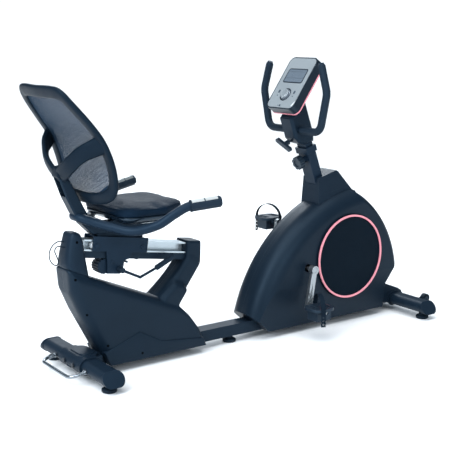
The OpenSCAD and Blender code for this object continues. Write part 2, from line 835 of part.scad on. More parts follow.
// The strap: a half ring over the pedal, from the inner front to the outer rear
module strap_body() {
    mid = (pedal_y0 + pedal_y1) / 2;
    translate([0, -mid, 12]) rotate([0, 0, 66.5]) {
        difference() {
            across(0, 0, 57, -9, 9);
            across(0, 0, 54.6, -10, 10);
            box(-70, 70, -20, 20, -80, 0);
        }
        difference() {
            box(-57, -54.6, -9, 9, -62, 0);
            for (k = [0:2]) box(-60, -50, -4, 4, -56 + 14 * k, -49 + 14 * k);
        }
        box(54.6, 57, -9, 9, -14, 0);
    }
}

module at_right_pedal() { translate([crank_x + pedal_dx, 0, crank_z + pedal_dz]) children(); }
module at_left_pedal() {
    translate([crank_x - pedal_dx, 0, crank_z - pedal_dz]) mirror([0, 1, 0]) children();
}

module pedal_right() { in_frame() color("#2a2f36") at_right_pedal() pedal_body(); }
module pedal_left() { in_frame() color("#2a2f36") at_left_pedal() pedal_body(); }
module strap_right() { in_frame() color("#191c20") at_right_pedal() strap_body(); }
module strap_left() { in_frame() color("#191c20") at_left_pedal() strap_body(); }

// ---------- mast ----------

module mast_tube() {
    in_frame() on_mast() {
        color("#262b32") difference() {
            union() {
                translate([-21, -30, mast_s0]) cube([42, 60, mast_s1 - mast_s0]);
                lengthwise(0, knob_s, 13, -34, -20);
            }
            translate([-21 + wall, -30 + wall, 0]) cube([42 - 2 * wall, 60 - 2 * wall, 900]);
            lengthwise(0, knob_s, spindle_r + run, -60, -10);
        }
        color("#17191d") difference() {
            translate([-26, -35, mast_s1 - 10]) cube([52, 70, 26]);
            translate([-21 - lay, -30 - lay, 0]) cube([42 + 2 * lay, 60 + 2 * lay, mast_s1 + lay]);
            translate([-18.4, -27.4, 0]) cube([36.8, 54.8, 900]);
        }
    }
}

boot = [[1047, 400], [1252, 400], [1252, 548], [1232, 556], [1158, 636], [1148, 641], [1056, 616]];
boot_seam = 16;

module boot_part(upper) {
    color("#20262e") difference() {
        intersection() {
            side(-70, 70) polygon(boot);
            rotate([90, 0, 90]) linear_extrude(height = 1400)
                polygon([[-62, 400], [62, 400], [46, 660], [-46, 660]]);
            translate([1047, 0, 545]) rotate([0, -9, 0])
                translate([-50, -100, upper ? lay : -300]) cube([400, 200, 300]);
        }
        both_sides() housing_solid(-lay, -1);
        difference() {
            intersection() {
                side(-70, 70) polygon(inset(boot, 4));
                rotate([90, 0, 90]) linear_extrude(height = 1400)
                    polygon([[-58, 400], [58, 400], [42, 660], [-42, 660]]);
            }
            box(1000, 1300, -80, 80, 598, 700);
        }
        on_mast() translate([-21 - lay, -30 - lay, 0]) cube([42 + 2 * lay, 60 + 2 * lay, 900]);
    }
}

module mast_boot() {
    in_frame() {
        boot_part(true);
        boot_part(false);
    }
}

// Inner mast, handlebar saddle and cap, and the console's mounting plate
module inner_mast() {
    in_frame() color("#20242a") {
        difference() {
            on_mast() union() {
                translate([-17.9, -26.9, 300]) cube([35.8, 53.8, 420]);
                translate([bar_d, -24, bar_s - 42]) cube([-bar_d - 17, 48, 66]);
            }
            on_mast() translate([-17.9 + 2, -26.9 + 2, 290]) cube([31.8, 49.8, 460]);
            on_mast() across(bar_d, bar_s, bar_r + run, -60, 60);
            on_mast() lengthwise(0, wing_s - 14, 4 + run, -60, -10);
            on_console() translate([-400, -200, -console_t - 6]) cube([800, 400, 400]);
        }
        on_mast() difference() {
            translate([bar_d - 16, -24, bar_s - 42]) cube([16 - lay, 48, 66]);
            across(bar_d, bar_s, bar_r + run, -60, 60);
            lengthwise(0, wing_s - 14, 4 + run, -60, -10);
        }
        on_console() translate([-100, -36, -console_t - 6]) cube([84, 72, 6 - lay]);
    }
}

cover = [[-62, 546], [-50, 522], [-24, 503], [24, 501], [31, 524], [33, 560], [33, 692], [-62, 628]];
cover_seam = [[-100, 700], [-46, 660], [-53, 604], [-44, 545], [-22, 480], [-100, 480]];

module clamp_half(rear) {
    on_mast() difference() {
        intersection() {
            soft_plate(cover, 39, 9);
            if (rear) side(-60, 60) polygon(cover_seam);
            else difference() {
                box(-100, 100, -60, 60, 480, 720);
                side(-61, 61) polygon(cover_seam);
            }
        }
        room(cover, 39, 9, 3);
        translate([-17.9 - lay, -26.9 - lay, 400]) cube([35.8 + 2 * lay, 53.8 + 2 * lay, 400]);
        across(bar_d, bar_s, bar_r + 1.5, -60, 60);
        lengthwise(0, wing_s - 14, 6, -90, -10);
    }
}

module clamp_cover() {
    in_frame() color("#15181d") {
        clamp_half(true);
        clamp_half(false);
    }
}

// A round knob with finger scallops, and its screw
module height_knob() {
    in_frame() color("#1a1d21") on_mast() translate([0, 0, knob_s]) {
        difference() {
            union() {
                lengthwise(0, 0, 27, -64, -40);
                lengthwise(0, 0, 18, -40, -36);
            }
            for (k = [0:7]) lengthwise(31 * cos(45 * k), 31 * sin(45 * k), 7, -70, -30);
            lengthwise(0, 0, 15, -70, -61);
        }
        lengthwise(0, 0, spindle_r, -37, -18.4);
    }
}

// A wing knob: a bar-shaped handle on a screw
module tilt_knob() {
    in_frame() color("#1a1d21") on_mast() translate([0, 0, wing_s - 14]) {
        rotate([30, 0, 0]) translate([-106, 0, 0]) rotate([0, 90, 0])
            linear_extrude(height = 13) stadium_y(84, 18);
        lengthwise(0, 0, 10, -94, -74);
        lengthwise(0, 0, 4, -75, -22);
    }
}

module stadium_y(w, h) { rotate(90) stadium(w, h); }

bar_half_l = 118;
bar_path = [[112, 0], [156, 0], [192, 151], [155, 262]];
foam_path = [[46, 0], [156, 0], [192, 151], [155, 262]];
bar_bends = [0, 42, 60, 0];
bar_x = wheel_x + bar_d * cos(mast_lean) - bar_s * sin(mast_lean);
bar_z0 = wheel_z + bar_d * sin(mast_lean) + bar_s * cos(mast_lean);

module bar_arm(p, r) {
    sweep([for (q = rounded_path(p, bar_bends, 6)) [bar_x, q[0], bar_z0 + q[1]]], r, r, [1, 0, 0], false, 16);
}

module handlebar() {
    in_frame() color("#1c1f24") {
        across(bar_x, bar_z0, bar_r, -bar_half_l, bar_half_l);
        both_sides() bar_arm(bar_path, bar_r - 0.1);
    }
}

module foam_grips() {
    in_frame() color("#14171b") both_sides() difference() {
        bar_arm(foam_path, foam_r);
        bar_arm(concat([[40, 0]], [for (i = [1:3]) bar_path[i] + (i == 3 ? [-3, 9] : [0, 0])]), bar_r + 0.7);
    }
}

// ---------- console ----------

module console_body() {
    in_frame() color("#101317") on_console() difference() {
        translate([0, 0, -console_t]) linear_extrude(height = console_t)
            rounded(console_l, console_w, 26);
        translate([0, 0, -console_t + 3]) linear_extrude(height = console_t - 8)
            rounded(console_l - 8, console_w - 8, 22);
        translate([0, 0, -3]) linear_extrude(height = 10)
            rounded(console_l - 9.6, console_w - 9.6, 22);
        translate([dial_u, 0, -20]) cylinder(h = 30, r = 24);
        key_wells(1);
        translate([-console_l / 2 - 4, 0, -console_t - 1]) strip_profile(0.3);
    }
}

dial_u = -54;
key_u = [dial_u + 12, dial_u + 12, dial_u - 50];
key_v = [46, -46, 0];

module key_shape(i, r) {
    translate([key_u[i], key_v[i]]) if (i < 2) rounded(13 + 2 * r, 8 + 2 * r, 3 + r);
        else circle(r = 4 + r);
}

module key_wells(g) {
    for (i = [0:2]) translate([0, 0, -12]) linear_extrude(height = 30) key_shape(i, g);
}

// The coloured strip wraps the lower end and both sides of the body's back edge
module strip_profile(g) {
    translate([4 + console_l / 2, 0, 1 - g]) linear_extrude(height = 4.6 + 2 * g) difference() {
        rounded(console_l + 3, console_w + 3, 27);
        rounded(console_l - 3 - 2 * g, console_w - 3 - 2 * g, 24.5);
        translate([90, -100]) square([100, 200]);
    }
}

module console_strip() {
    in_frame() color("#e8788c") on_console()
        translate([-console_l / 2 - 4, 0, -console_t - 1]) strip_profile(0);
}

module console_face() {
    in_frame() color("#aeb4ba") on_console() {
        difference() {
            translate([0, 0, -2.8]) linear_extrude(height = 3.3)
                rounded(console_l - 10, console_w - 10, 22);
            translate([dial_u, 0, -20]) cylinder(h = 30, r = 23);
            key_wells(0.5);
            translate([2, -55, -1]) cube([60, 110, 10]);
        }
        color("#6f7c88") translate([2.3, -54.7, -0.9]) cube([59.4, 109.4, 1.3]);
    }
}

module dial() {
    in_frame() color("#c9ced3") on_console() translate([dial_u, 0, 0]) {
        translate([0, 0, -4]) cylinder(h = 12, r = 20);
        translate([0, 0, -4]) cylinder(h = 3, r = 22);
        translate([0, 0, -10]) cylinder(h = 7, r = 4);
    }
}

module key(i) {
    in_frame() color("#3a4048") on_console() translate([0, 0, -9])
        linear_extrude(height = 11) key_shape(i, 0);
}

module key_left() { key(0); }
module key_right() { key(1); }
module key_low() { key(2); }

// ---------- transport wheels ----------

module tow_wheel(s) {
    color("#24282e") difference() {
        across(tow_x, tow_z, tow_r, s * tow_y - 9, s * tow_y + 9);
        across(tow_x, tow_z, 4 + run, s * tow_y - 20, s * tow_y + 20);
        for (e = SIDES) difference() {
            across(tow_x, tow_z, tow_r - 5, s * tow_y + e * 9 - 2, s * tow_y + e * 9 + 2);
            across(tow_x, tow_z, 8, s * tow_y - 20, s * tow_y + 20);
        }
    }
}

module wheel_right() { in_frame() tow_wheel(-1); }
module wheel_left() { in_frame() tow_wheel(1); }

// ---------- seat carriage ----------

carriage_plate = [[-191, -19], [-135, -19], [-126, -60], [-122, -98], [-72, -98], [-62, -90],
    [-59, -50], [-38, -42], [-32, -19], [30, -19], [30, 33], [-191, 33]];
brake_u = -131;
brake_w = -75;

module seat_carriage() {
    in_frame() color("#2a323c") on_rail() {
        both_sides() difference() {
            side(plate_v, plate_v + sheet) polygon(carriage_plate);
            across(lever_u, lever_w, spindle_r + run, 0, 60);
        }
        both_sides() for (u = roller_u) {
            across(u, 0, 5, 4, plate_v + sheet);
            across(u, 0, 8, plate_v + sheet, plate_v + sheet + 4, $fn = 6);
        }
        for (p = [[-107, -56], [-50, -54]]) across(p[0], p[1], 4, -plate_v - sheet - 3, plate_v + sheet + 3);
        box(-180, 22, -plate_v, plate_v, 27, 32);
        color("#15181c") difference() {
            union() {
                across(brake_u, brake_w, 27, -24, 24);
                box(brake_u, brake_u + 36, -24, 24, brake_w - 20, brake_w + 12);
            }
            for (k = [0:9]) across(brake_u + 29 * cos(110 + 22 * k), brake_w + 29 * sin(110 + 22 * k), 4.5, -30, 30);
            across(-107, -56, 4.2, -60, 60);
            across(lever_u, lever_w, 14, -60, 60);
        }
    }
}

module glide_discs() {
    in_frame() color("#e6e8ea") on_rail() both_sides() for (u = roller_u) difference() {
        across(u, 0, roller_r, 5, 24);
        across(u, 0, 5.1, 0, 60);
    }
}

lever_path = [[lever_u, lever_w], [-2, -105], [62, -70], [129, -27]];

module lock_lever() {
    in_frame() color("#1c2026") on_rail() {
        across(lever_u, lever_w, spindle_r, -lever_v, plate_v + sheet + 6);
        across(lever_u, lever_w, 10, -lever_v - 4, -plate_v - sheet - 2);
        for (i = [0:1]) rod([lever_path[i][0], -lever_v, lever_path[i][1]],
                            [lever_path[i + 1][0], -lever_v, lever_path[i + 1][1]], 5);
        translate([lever_path[1][0], -lever_v, lever_path[1][1]]) sphere(r = 5.6);
        rod([lever_path[2][0] - 2, -lever_v, lever_path[2][1] - 1],
            [lever_path[3][0], -lever_v, lever_path[3][1]], 10);
    }
}

// ---------- seat ----------

seat_plate = [[70, 495.6], [250, 468.6], [250, 486], [330, 520], [330, 541.8], [70, 541.8]];
knee = [[8, 546], [52, 503], [110, 498], [110, 541.8], [34, 576]];
back_channel = [[-46, 640], [-4, 556], [30, 545], [36, 572], [-30, 700], [-72, 712]];

module seat_bracket() {
    in_frame() color("#20262e") difference() {
        union() {
            side(-22, 22) polygon(seat_plate);
            soft_plate(knee, 24, 4);
            soft_plate(back_channel, 24, 4);
        }
        side(-18, 18) polygon([[120, 497], [240, 480], [240, 492], [310, 522], [310, 534], [120, 534]]);
        side(-19, 19) polygon([[-80, 650], [-26, 640], [-18, 700], [-90, 715]]);
        sweep(seat_points, 16.4, 16.4, [0, 0, 1], false, 16);
        back_ring(lay);
    }
}

// Line of the seat frame tube: forward arms, and a middle behind the cushion
arm_line = [[6, -30, 566], [42, -62, 552], [84, -104, 538], [134, -160, 528], [190, -222, 552],
    [240, -250, 588], [295, -262, 613], [380, -291, 623]];
seat_line = concat([for (i = [len(arm_line) - 1:-1:0]) [arm_line[i][0], -arm_line[i][1], arm_line[i][2]]],
    [[-2, 0, 570]], arm_line);

seat_points = smooth(seat_line, 4);

module seat_tube() { in_frame() color("#1d222a") pipe(seat_points, 16, 13.4, [0, 0, 1], 16); }

grip_a = [295, -262, 613];
grip_b = [396, -296.5, 625];

// Draws along the right-hand grip, its length along local Z
module on_grip() {
    d = grip_b - grip_a;
    translate(grip_a) rotate([0, acos(d[2] / norm(d)), atan2(d[1], d[0])]) rotate([0, 0, 22.5]) children();
}
grip_l = norm(grip_b - grip_a);

module seat_grips() {
    in_frame() color("#191c21") both_sides() difference() {
        on_grip() {
            cylinder(h = grip_l, r = 20.5, $fn = 8);
            translate([0, 0, 1]) cylinder(h = 5, r = 21);
            translate([0, 0, grip_l]) cylinder(h = 4, r = 17, $fn = 8);
        }
        sweep(seat_points, 16.3, 16.3, [0, 0, 1], false, 16);
    }
}

// Two plates on the upper faces of each grip
module pulse_plates() {
    in_frame() color("#c6cbd0") both_sides() on_grip() intersection() {
        difference() {
            for (z = [6, 54]) translate([0, 0, z]) cylinder(h = 44, r = 22, $fn = 8);
            translate([0, 0, -5]) cylinder(h = grip_l + 10, r = 20.7, $fn = 8);
        }
        rotate([0, 0, -22.5]) translate([-40, -15, 0]) cube([40, 30, 200]);
    }
}

seat_x0 = 95;
seat_x1 = 385;
seat_half = 168;

// Plan of the cushion, moved inwards by g: wide at the back, rounded at the front
module seat_plan(g) {
    for (s = SIDES) {
        translate([seat_x0 + 62, s * (seat_half - 62)]) circle(r = 60 - g);
        translate([seat_x0 + 150, s * (seat_half - 74)]) circle(r = 74 - g);
        translate([seat_x1 - 82, s * 52]) circle(r = 80 - g);
    }
}

module seat_base() {
    in_frame() color("#0f1318") hull() {
        translate([0, 0, 566]) linear_extrude(height = 6) seat_plan(5, $fn = 32);
        translate([0, 0, 542]) linear_extrude(height = 2) seat_plan(46, $fn = 32);
    }
}

module seat_cushion() {
    in_frame() color("#20252c") hull() {
        translate([0, 0, 572 + lay]) linear_extrude(height = 10) seat_plan(0, $fn = 32);
        translate([0, 0, 573 + cushion_h * 0.55]) linear_extrude(height = 2) seat_plan(14, $fn = 32);
        translate([20, 0, 573 + cushion_h - 8]) linear_extrude(height = 2) seat_plan(60, $fn = 32);
    }
}

// ---------- mesh back ----------

back_side = [[-122, -92, 1002], [-112, -138, 995], [-87, -162, 961], [-41, -182, 903], [-1, -189, 848],
    [26, -191, 790], [42, -189, 735], [48, -181, 690], [44, -154, 658], [32, -92, 641]];
back_loop = concat([[-127, 0, 1001]], back_side, [[25, 0, 637]],
    [for (i = [len(back_side) - 1:-1:0]) [back_side[i][0], -back_side[i][1], back_side[i][2]]]);

module back_ring(g) { sweep(smooth(back_loop, 3, true), 22 + g, 10 + g, [1, 0, 0.45], true, 12); }

module back_frame() { in_frame() color("#1a1f27") back_ring(0); }

// Mesh: rows across the opening between the side members: [x, half width, z, hollow in the middle]
mesh_rows = [[-121, 102, 1000, 6], [-98, 150, 974, 12], [-42, 178, 902, 16], [-2, 186, 848, 16],
    [25, 188, 790, 16], [41, 187, 735, 16], [47, 178, 692, 14], [42, 148, 660, 10], [30, 92, 643, 5]];
mesh_cols = 8;

module back_mesh() {
    n = mesh_cols + 1;
    front = [for (r = mesh_rows, k = [0:mesh_cols]) let (f = 2 * k / mesh_cols - 1)
        [r[0] - r[3] * (1 - f * f), r[1] * f, r[2]]];
    back = [for (p = front) p - [2, 0, 0]];
    m = len(front);
    rows = len(mesh_rows);
    quad = function (a, b, c, d) [[a, b, c], [a, c, d]];
    faces = concat(
        [for (i = [0:rows - 2], k = [0:mesh_cols - 1]) let (a = i * n + k)
            each quad(a, a + n, a + n + 1, a + 1)],
        [for (i = [0:rows - 2], k = [0:mesh_cols - 1]) let (a = m + i * n + k)
            each quad(a, a + 1, a + n + 1, a + n)],
        [for (i = [0:rows - 2]) let (a = i * n) each quad(a, m + a, m + a + n, a + n)],
        [for (i = [0:rows - 2]) let (a = i * n + mesh_cols) each quad(a, a + n, m + a + n, m + a)],
        [for (k = [0:mesh_cols - 1]) each quad(k, k + 1, m + k + 1, m + k)],
        [for (k = [0:mesh_cols - 1]) let (a = (rows - 1) * n + k) each quad(a, m + a, m + a + 1, a + 1)]);
    in_frame() color("#5b6672") difference() {
        polyhedron(points = concat(front, back), faces = faces);
        back_ring(0.6);
    }
}

yoke_arm = [[-58, 0, 716], [-62, -40, 732], [-60, -90, 764], [-42, -136, 800], [-19, -168, 822],
    [-2, -192, 836]];

// Behind the mesh: a hub bolted to the channel and two wide curved arms
module back_yoke() {
    in_frame() color("#1b212a") {
        difference() {
            union() {
                both_sides() sweep(smooth(yoke_arm, 3), 26, 7, [0.9, 0, 0.44]);
                side(-20, 20) polygon([[-74, 716], [-34, 702], [-30, 722], [-46, 748], [-72, 744]]);
            }
            side(-24 - lay, 24 + lay) polygon(inset(back_channel, -lay));
            back_ring(lay);
        }
    }
}

main_frame();
front_stabiliser();
rear_stabiliser();
end_caps();
stabiliser_covers();
foot_front_right();
foot_front_left();
foot_rear_right();
foot_rear_left();
foot_middle();
carry_handle();
rear_shell_right();
rear_shell_left();
column_cover();
pulse_lead();
seat_rail();
housing_right();
housing_left();
side_discs();
trim_rings();
fork_plates();
drive_belt();
mast_tube();
mast_boot();
frame_bolts();
flywheel();
magnet_bracket();
crank_axle();
cranks();
pedal_right();
pedal_left();
strap_right();
strap_left();
inner_mast();
clamp_cover();
console_body();
console_face();
console_strip();
handlebar();
foam_grips();
height_knob();
tilt_knob();
dial();
key_left();
key_right();
key_low();
wheel_right();
wheel_left();
seat_carriage();
glide_discs();
lock_lever();
seat_bracket();
seat_tube();
seat_grips();
pulse_plates();
seat_base();
seat_cushion();
back_frame();
back_yoke();
back_mesh();
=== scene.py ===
"""A recumbent exercise bike with a mesh back, in its own fixed frame.

Shapes are drawn in design millimetres, as in the CAD source, with X from the rear stabiliser's axis.
P, PN and con put them in the frame's metres.
"""
import json
import math

import bpy
import bmesh
import numpy as np
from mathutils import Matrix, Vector
from mathutils.bvhtree import BVHTree


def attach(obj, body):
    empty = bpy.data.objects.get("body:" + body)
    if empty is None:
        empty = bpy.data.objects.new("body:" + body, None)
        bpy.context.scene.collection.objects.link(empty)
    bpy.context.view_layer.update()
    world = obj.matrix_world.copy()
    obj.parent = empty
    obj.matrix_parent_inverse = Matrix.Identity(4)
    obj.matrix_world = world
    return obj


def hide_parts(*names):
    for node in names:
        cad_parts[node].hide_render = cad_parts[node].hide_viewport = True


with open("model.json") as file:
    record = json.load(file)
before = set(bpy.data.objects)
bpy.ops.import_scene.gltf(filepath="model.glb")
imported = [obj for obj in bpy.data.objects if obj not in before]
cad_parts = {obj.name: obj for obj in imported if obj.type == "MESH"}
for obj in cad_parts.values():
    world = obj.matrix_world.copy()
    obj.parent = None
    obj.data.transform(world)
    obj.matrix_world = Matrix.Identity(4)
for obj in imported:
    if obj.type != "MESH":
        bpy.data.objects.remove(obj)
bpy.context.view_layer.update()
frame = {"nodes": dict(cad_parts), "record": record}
nodes = frame["nodes"]
scene = bpy.context.scene
coll = scene.collection

# ---------------------------------------------------------------- frames and curves


MIDDLE_X = 720.0
CONSOLE_BASE = (948.5, 996.0)
CONSOLE_LEAN = math.radians(55)
MAST_FOOT = (1187.5, 288.0)
MAST_LEAN = math.radians(20)
BAR_AT = (-32.5, 570.0)


def P(x, y, z):
    """One design point in metres."""
    return ((x - MIDDLE_X) / 1000.0, y / 1000.0, z / 1000.0)


def PN(points):
    """Many design points in metres."""
    return (np.array(points, float) - np.array([MIDDLE_X, 0.0, 0.0])) / 1000.0


def con(u, v, n):
    """A design point on the console: u up its face, v across it, n out of it."""
    c, s = math.cos(CONSOLE_LEAN), math.sin(CONSOLE_LEAN)
    return (CONSOLE_BASE[0] + u * c - n * s, v, CONSOLE_BASE[1] + u * s + n * c)


def catmull(points, n, closed=False):
    """A smooth curve through the points, with n steps between each two."""
    p = [np.array(q, float) for q in points]
    m = len(p)

    def at(i):
        return p[i % m] if closed else p[max(0, min(m - 1, i))]

    out = []
    for i in range(m if closed else m - 1):
        a, b, c, d = at(i - 1), at(i), at(i + 1), at(i + 2)
        for j in range(n):
            t = j / n
            out.append(
                0.5
                * (
                    2 * b
                    + (c - a) * t
                    + (2 * a - 5 * b + 4 * c - d) * t * t
                    + (3 * b - a - 3 * c + d) * t**3
                )
            )
    if not closed:
        out.append(p[-1])
    return np.array(out)


def rounded_path(points, radii, n):
    """A flat path with its corners rounded."""
    p = [np.array(q, float) for q in points]
    out = [p[0]]
    for i in range(1, len(p) - 1):
        u = (p[i] - p[i - 1]) / np.linalg.norm(p[i] - p[i - 1])
        v = (p[i + 1] - p[i]) / np.linalg.norm(p[i + 1] - p[i])
        turn = math.atan2(u[0] * v[1] - u[1] * v[0], float(u @ v))
        s = 1 if turn > 0 else -1
        c = p[i] - u * radii[i] * math.tan(abs(turn) / 2) + np.array([-u[1], u[0]]) * s * radii[i]
        start = math.atan2(u[1], u[0]) - s * math.pi / 2
        for k in range(n + 1):
            a = start + turn * k / n
            out.append(c + radii[i] * np.array([math.cos(a), math.sin(a)]))
    out.append(p[-1])
    return np.array(out)


def resample(line, step):
    """The same line with points at even steps."""
    d = np.r_[0, np.cumsum(np.linalg.norm(np.diff(line, axis=0), axis=1))]
    n = max(2, int(round(d[-1] / step)) + 1)
    at = np.linspace(0, d[-1], n)
    return np.stack([np.interp(at, d, line[:, k]) for k in range(line.shape[1])], 1)


# ---------------------------------------------------------------- meshes


def smooth_faces(me, angle=None):
    """Smooth shading, with sharp edges where faces meet at more than the angle."""
    for f in me.polygons:
        f.use_smooth = True
    if angle is not None:
        bm = bmesh.new()
        bm.from_mesh(me)
        for e in bm.edges:
            if len(e.link_faces) == 2 and e.calc_face_angle(0.0) > math.radians(angle):
                e.smooth = False
        bm.to_mesh(me)
        bm.free()


def mesh_object(name, verts, faces, mat=None, angle=40):
    """A closed or open mesh in metres as an object of the scene."""
    me = bpy.data.meshes.new(name)
    me.from_pydata([tuple(map(float, v)) for v in verts], [], [tuple(f) for f in faces])
    me.validate()
    bm = bmesh.new()
    bm.from_mesh(me)
    bmesh.ops.recalc_face_normals(bm, faces=bm.faces)
    bm.to_mesh(me)
    bm.free()
    smooth_faces(me, angle)
    o = bpy.data.objects.new(name, me)
    coll.objects.link(o)
    if mat is not None:
        me.materials.append(mat)
    return o


def sweep(line, section, ref, closed=False, scales=None):
    """Rings of a section (pairs in the plane across the line) along points, with caps."""
    n, m = len(line), len(section)
    verts, faces = [], []
    ref = np.array(ref, float)
    for i in range(n):
        if closed:
            t = line[(i + 1) % n] - line[i - 1]
        else:
            t = line[min(n - 1, i + 1)] - line[max(0, i - 1)]
        t = t / np.linalg.norm(t)
        a = np.cross(t, ref)
        a /= np.linalg.norm(a)
        b = np.cross(t, a)
        k = 1.0 if scales is None else scales[i]
        for s in section:
            verts.append(line[i] + a * s[0] * k + b * s[1] * k)
    for i in range(n if closed else n - 1):
        j = (i + 1) % n
        for k in range(m):
            q = (k + 1) % m
            faces.append((i * m + k, i * m + q, j * m + q, j * m + k))
    if not closed:
        verts.append(line[0])
        verts.append(line[-1])
        c0, c1 = n * m, n * m + 1
        for k in range(m):
            q = (k + 1) % m
            faces.append((c0, q, k))
            faces.append((c1, (n - 1) * m + k, (n - 1) * m + q))
    return verts, faces


def superellipse(ra, rb, power, sides):
    """An oval section: power 2 is an ellipse, and higher powers are boxier."""
    out = []
    for k in range(sides):
        a = 2 * math.pi * k / sides
        c, s = math.cos(a), math.sin(a)
        out.append(
            (ra * math.copysign(abs(c) ** (2 / power), c), rb * math.copysign(abs(s) ** (2 / power), s))
        )
    return out


def swept(name, line_mm, section, ref, mat, closed=False, scales=None, angle=50):
    """A section carried along a line of design points, as an object."""
    v, f = sweep(np.array(line_mm, float), section, ref, closed, scales)
    return mesh_object(name, PN(v), f, mat, angle)


def join_parts(name, parts, mat, angle=40):
    """Several (verts in design mm, faces) as one mesh."""
    verts, faces = [], []
    for v, f in parts:
        k = len(verts)
        verts += list(v)
        faces += [tuple(i + k for i in q) for q in f]
    return mesh_object(name, PN(verts), faces, mat, angle)


def lathe(profile, place, sides=40):
    """Profile (radius, height) turned about the local axis that place(u, v, n) puts in the frame."""
    verts, faces = [], []
    m = len(profile)
    for k in range(sides):
        a = 2 * math.pi * k / sides
        for r, h in profile:
            verts.append(place(r * math.cos(a), r * math.sin(a), h))
    for k in range(sides):
        q = (k + 1) % sides
        for i in range(m - 1):
            faces.append((k * m + i, k * m + i + 1, q * m + i + 1, q * m + i))
    return verts, faces


def rounded_rect(w, h, r, n=8, cx=0.0, cy=0.0):
    """A rectangle with round corners, about (cx, cy)."""
    out = []
    for k, (sx, sy) in enumerate([(1, 1), (-1, 1), (-1, -1), (1, -1)]):
        for j in range(n + 1):
            a = math.pi / 2 * (k + j / n)
            out.append((cx + sx * (w / 2 - r) + r * math.cos(a), cy + sy * (h / 2 - r) + r * math.sin(a)))
    return out


def slab(outline, n0, n1, place, edge=0.3):
    """A flat piece with a softened rim: outline in (u, v), thick from n0 to n1."""
    c = np.mean(np.array(outline), axis=0)
    rings = []
    for k, (d, h) in enumerate([(0, n0), (0, n1 - edge), (edge, n1)]):
        ring = []
        for p in outline:
            q = np.array(p) - c
            q = q * (1 - d / max(1e-6, np.linalg.norm(q)))
            ring.append(place(q[0] + c[0], q[1] + c[1], h))
        rings.append(ring)
    m = len(outline)
    verts = [p for r in rings for p in r]
    faces = []
    for i in range(2):
        for k in range(m):
            q = (k + 1) % m
            faces.append((i * m + k, i * m + q, (i + 1) * m + q, (i + 1) * m + k))
    faces.append(tuple(range(m))[::-1])
    faces.append(tuple(2 * m + k for k in range(m)))
    return verts, faces


# ---------------------------------------------------------------- materials

_mats = {}


def set_in(node, name, value):
    """Sets a shader input if this version of the shader has it."""
    if name in node.inputs:
        node.inputs[name].default_value = value


